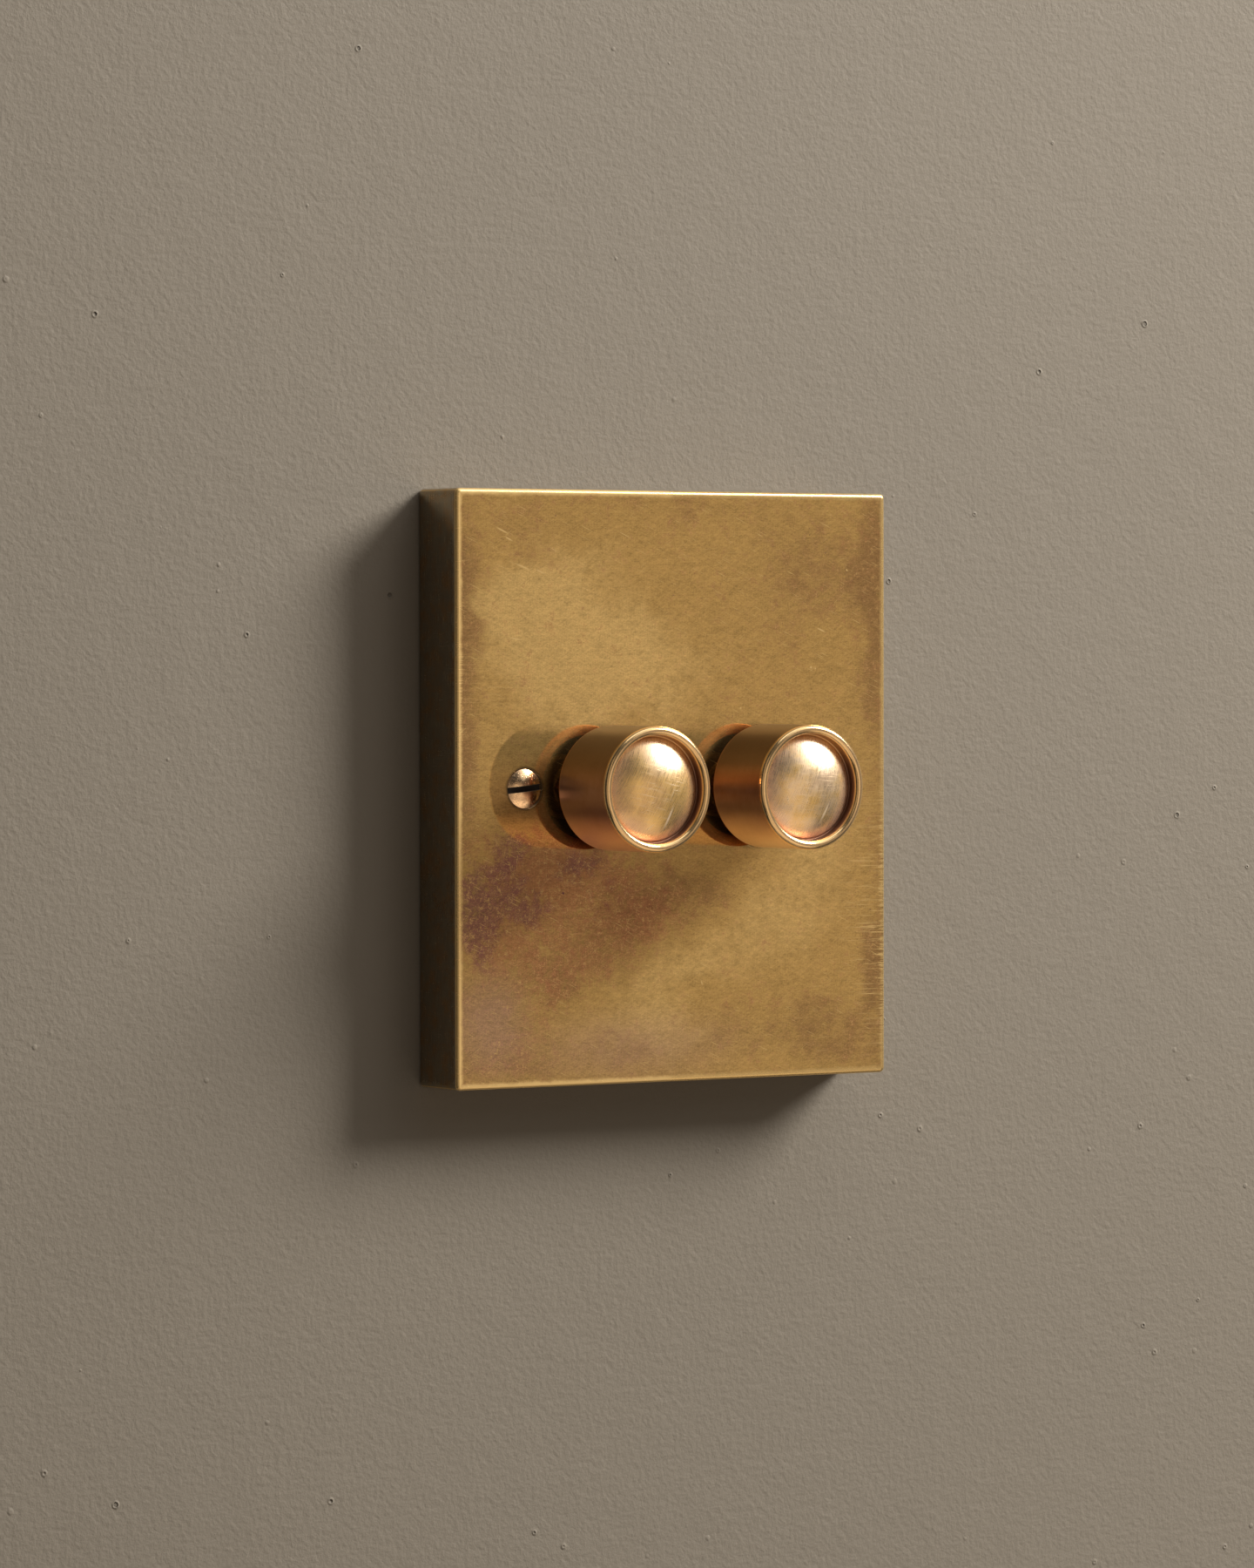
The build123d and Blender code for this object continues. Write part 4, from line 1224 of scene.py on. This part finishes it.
def soft_light(name, azimuth, elevation, distance, size, radiance, tint, shape="RECTANGLE", card=False):
    """Hangs a soft light that faces the middle of the plate; azimuth counts to the right of its front.

    A card shows in reflections and casts no light on matt surfaces.
    """
    a, e = math.radians(azimuth), math.radians(elevation)
    out = Vector((math.sin(a) * math.cos(e), -math.cos(a) * math.cos(e), math.sin(e)))
    lamp = bpy.data.lights.new(name, "AREA")
    lamp.shape = shape
    lamp.size, lamp.size_y = size
    filled = 1.0 if shape == "RECTANGLE" else math.pi / 4.0
    lamp.energy = radiance * math.pi * lamp.size * lamp.size_y * filled
    lamp.color = tint
    light = bpy.data.objects.new(name, lamp)
    light.location = out * distance
    light.rotation_mode = "QUATERNION"
    light.rotation_quaternion = out.to_track_quat("Z", "Y")
    light.visible_camera = False
    light.visible_diffuse = not card
    bpy.context.scene.collection.objects.link(light)


class DIMMER_OT_stage(bpy.types.Operator):
    """Sets up the wall, the floor, the soft light and the camera"""

    bl_idname = "dimmer.stage"
    bl_label = "Stage"

    def execute(self, context):
        look = context.scene.dimmer_stage
        scene = context.scene
        self.wall(look)
        self.floor(look)
        self.lights(look)
        self.surroundings(look, scene)
        self.camera(look, scene)
        scene.view_settings.view_transform = "Standard"
        return {"FINISHED"}

    def lights(self, look):
        """A key light from the upper right with a soft halo, and dim warm fills round it."""
        fill = look.fill
        sun = (1.0, 0.965, 0.92)
        amber = (1.0, 0.83, 0.66)
        soft_light("key_light", 59.0, 32.0, 1.6, (0.70, 0.70), look.key, sun, "ELLIPSE")
        soft_light("key_halo", 48.0, 33.0, 1.65, (1.75, 1.3), fill * 2.3, sun, "ELLIPSE")
        soft_light("front_fill", 11.0, -20.0, 0.9, (1.08, 1.0), fill * 0.52, amber)
        soft_light("front_card", 11.0, -20.0, 0.92, (1.1, 1.02), fill * 0.48, amber, card=True)
        soft_light("left_fill", 13.0, -22.0, 0.92, (0.53, 1.1), fill * 0.6, amber)
        soft_light("left_card", 7.0, -4.0, 0.93, (0.46, 0.56), fill * 0.8, amber, card=True)
        soft_light("low_card", 6.0, -52.0, 0.91, (1.2, 0.7), fill * 1.6, amber, card=True)
        soft_light("left_glow", -36.0, 8.0, 0.9, (0.45, 1.0), fill, amber)
        soft_light("right_fill", 80.0, -4.0, 0.9, (1.00, 0.36), fill * 0.4, amber)
        soft_light("top_light", 25.0, 64.0, 1.0, (0.8, 0.5), fill * 3.9, (1.0, 0.98, 1.0))
        soft_light("back_light", 205.0, 35.0, 1.3, (1.2, 1.0), fill * 22.0, look.room)

    def surroundings(self, look, scene):
        """A dim room, with a pale backdrop where the camera sees past the wall and the floor."""
        world = bpy.data.worlds.new("studio")
        world.use_nodes = True
        tree = world.node_tree
        room = tree.nodes["Background"]
        room.inputs["Color"].default_value = (*look.room, 1.0)
        room.inputs["Strength"].default_value = look.world
        backdrop = tree.nodes.new("ShaderNodeBackground")
        backdrop.inputs["Color"].default_value = (*look.backdrop, 1.0)
        ray = tree.nodes.new("ShaderNodeLightPath")
        mix = tree.nodes.new("ShaderNodeMixShader")
        tree.links.new(ray.outputs["Is Camera Ray"], mix.inputs[0])
        tree.links.new(room.outputs[0], mix.inputs[1])
        tree.links.new(backdrop.outputs[0], mix.inputs[2])
        tree.links.new(mix.outputs[0], tree.nodes["World Output"].inputs["Surface"])
        scene.world = world

    def wall(self, look):
        """A painted panel at the back of the plate, open behind the tray so that the works stand through."""
        outer = look.wall_width / 2.0
        overlap = 0.0013
        front, back = 0.00005, 0.0015
        outline = (outer, look.floor_drop, outer)
        opening = (plate_high.x - overlap, plate_high.z - overlap, plate_high.z - overlap)
        mesh = bmesh.new()
        layers = []
        for y in (front, back):
            loops = []
            for across, down, up in (outline, opening):
                corners = ((-across, -down), (across, -down), (across, up), (-across, up))
                loops.append([mesh.verts.new((x, y, z)) for x, z in corners])
            layers.append(loops)
        for n in range(4):
            m = (n + 1) % 4
            for loops in layers:
                mesh.faces.new((loops[0][n], loops[0][m], loops[1][m], loops[1][n]))
            for k in range(2):
                mesh.faces.new((layers[0][k][n], layers[0][k][m], layers[1][k][m], layers[1][k][n]))
        bmesh.ops.recalc_face_normals(mesh, faces=mesh.faces)
        data = bpy.data.meshes.new("wall")
        mesh.to_mesh(data)
        mesh.free()
        data.materials.append(wall_paint(look.wall))
        panel = bpy.data.objects.new("wall", data)
        bpy.context.scene.collection.objects.link(panel)

    def floor(self, look):
        """A pale floor well below the plate."""
        data = bpy.data.meshes.new("floor")
        mesh = bmesh.new()
        bmesh.ops.create_grid(mesh, x_segments=4, y_segments=4, size=1.0)
        mesh.to_mesh(data)
        mesh.free()
        data.materials.append(floor_paint(look.floor))
        floor = bpy.data.objects.new("floor", data)
        floor.location.z = -look.floor_drop
        bpy.context.scene.collection.objects.link(floor)

    def camera(self, look, scene):
        """The photograph's viewpoint: yaw and pitch aim the camera, and roll levels it."""
        ahead = Vector(
            (
                math.sin(look.yaw) * math.cos(look.pitch),
                math.cos(look.yaw) * math.cos(look.pitch),
                -math.sin(look.pitch),
            )
        )
        level = Vector((math.cos(look.yaw), -math.sin(look.yaw), 0.0))
        upright = level.cross(ahead)
        right = level * math.cos(look.roll) + upright * math.sin(look.roll)
        up = upright * math.cos(look.roll) - level * math.sin(look.roll)
        lens = bpy.data.cameras.new("camera")
        lens.lens = look.lens
        lens.sensor_width = 36.0
        lens.sensor_fit = "AUTO"
        lens.clip_start, lens.clip_end = 0.01, 20.0
        camera = bpy.data.objects.new("camera", lens)
        turned = Matrix((right, up, -ahead)).transposed().to_4x4()
        camera.matrix_world = Matrix.Translation(look.camera_place) @ turned
        scene.collection.objects.link(camera)
        scene.camera = camera


LOOKS = {
    "dimmer_plate": PlateLook,
    "dimmer_knobs": KnobLook,
    "dimmer_screws": ScrewLook,
    "dimmer_works": WorksLook,
    "dimmer_stage": StageLook,
}
STEPS = (
    DIMMER_OT_plate,
    DIMMER_OT_knobs,
    DIMMER_OT_fixing_screws,
    DIMMER_OT_clamping,
    DIMMER_OT_spindles,
    DIMMER_OT_cases,
    DIMMER_OT_terminals,
    DIMMER_OT_works,
    DIMMER_OT_chokes,
    DIMMER_OT_springs,
    DIMMER_OT_stage,
)


class DIMMER_PT_panel(bpy.types.Panel):
    """Lists the steps and the values that they use"""

    bl_idname = "DIMMER_PT_panel"
    bl_label = "Dimmer switch"
    bl_space_type = "VIEW_3D"
    bl_region_type = "UI"
    bl_category = "Dimmer"

    def draw(self, context):
        for step in STEPS:
            self.layout.operator(step.bl_idname)
        for name, group in LOOKS.items():
            box = self.layout.box()
            box.label(text=group.__doc__)
            for value in group.__annotations__:
                box.prop(getattr(context.scene, name), value)


CLASSES = (*LOOKS.values(), *STEPS, DIMMER_PT_panel)


def register():
    for cls in CLASSES:
        bpy.utils.register_class(cls)
    for name, group in LOOKS.items():
        setattr(bpy.types.Scene, name, PointerProperty(type=group))


def unregister():
    for name in LOOKS:
        delattr(bpy.types.Scene, name)
    for cls in reversed(CLASSES):
        bpy.utils.unregister_class(cls)


def main():
    register()
    for step in STEPS:
        group, name = step.bl_idname.split(".")
        getattr(getattr(bpy.ops, group), name)()


if __name__ == "__main__":
    main()
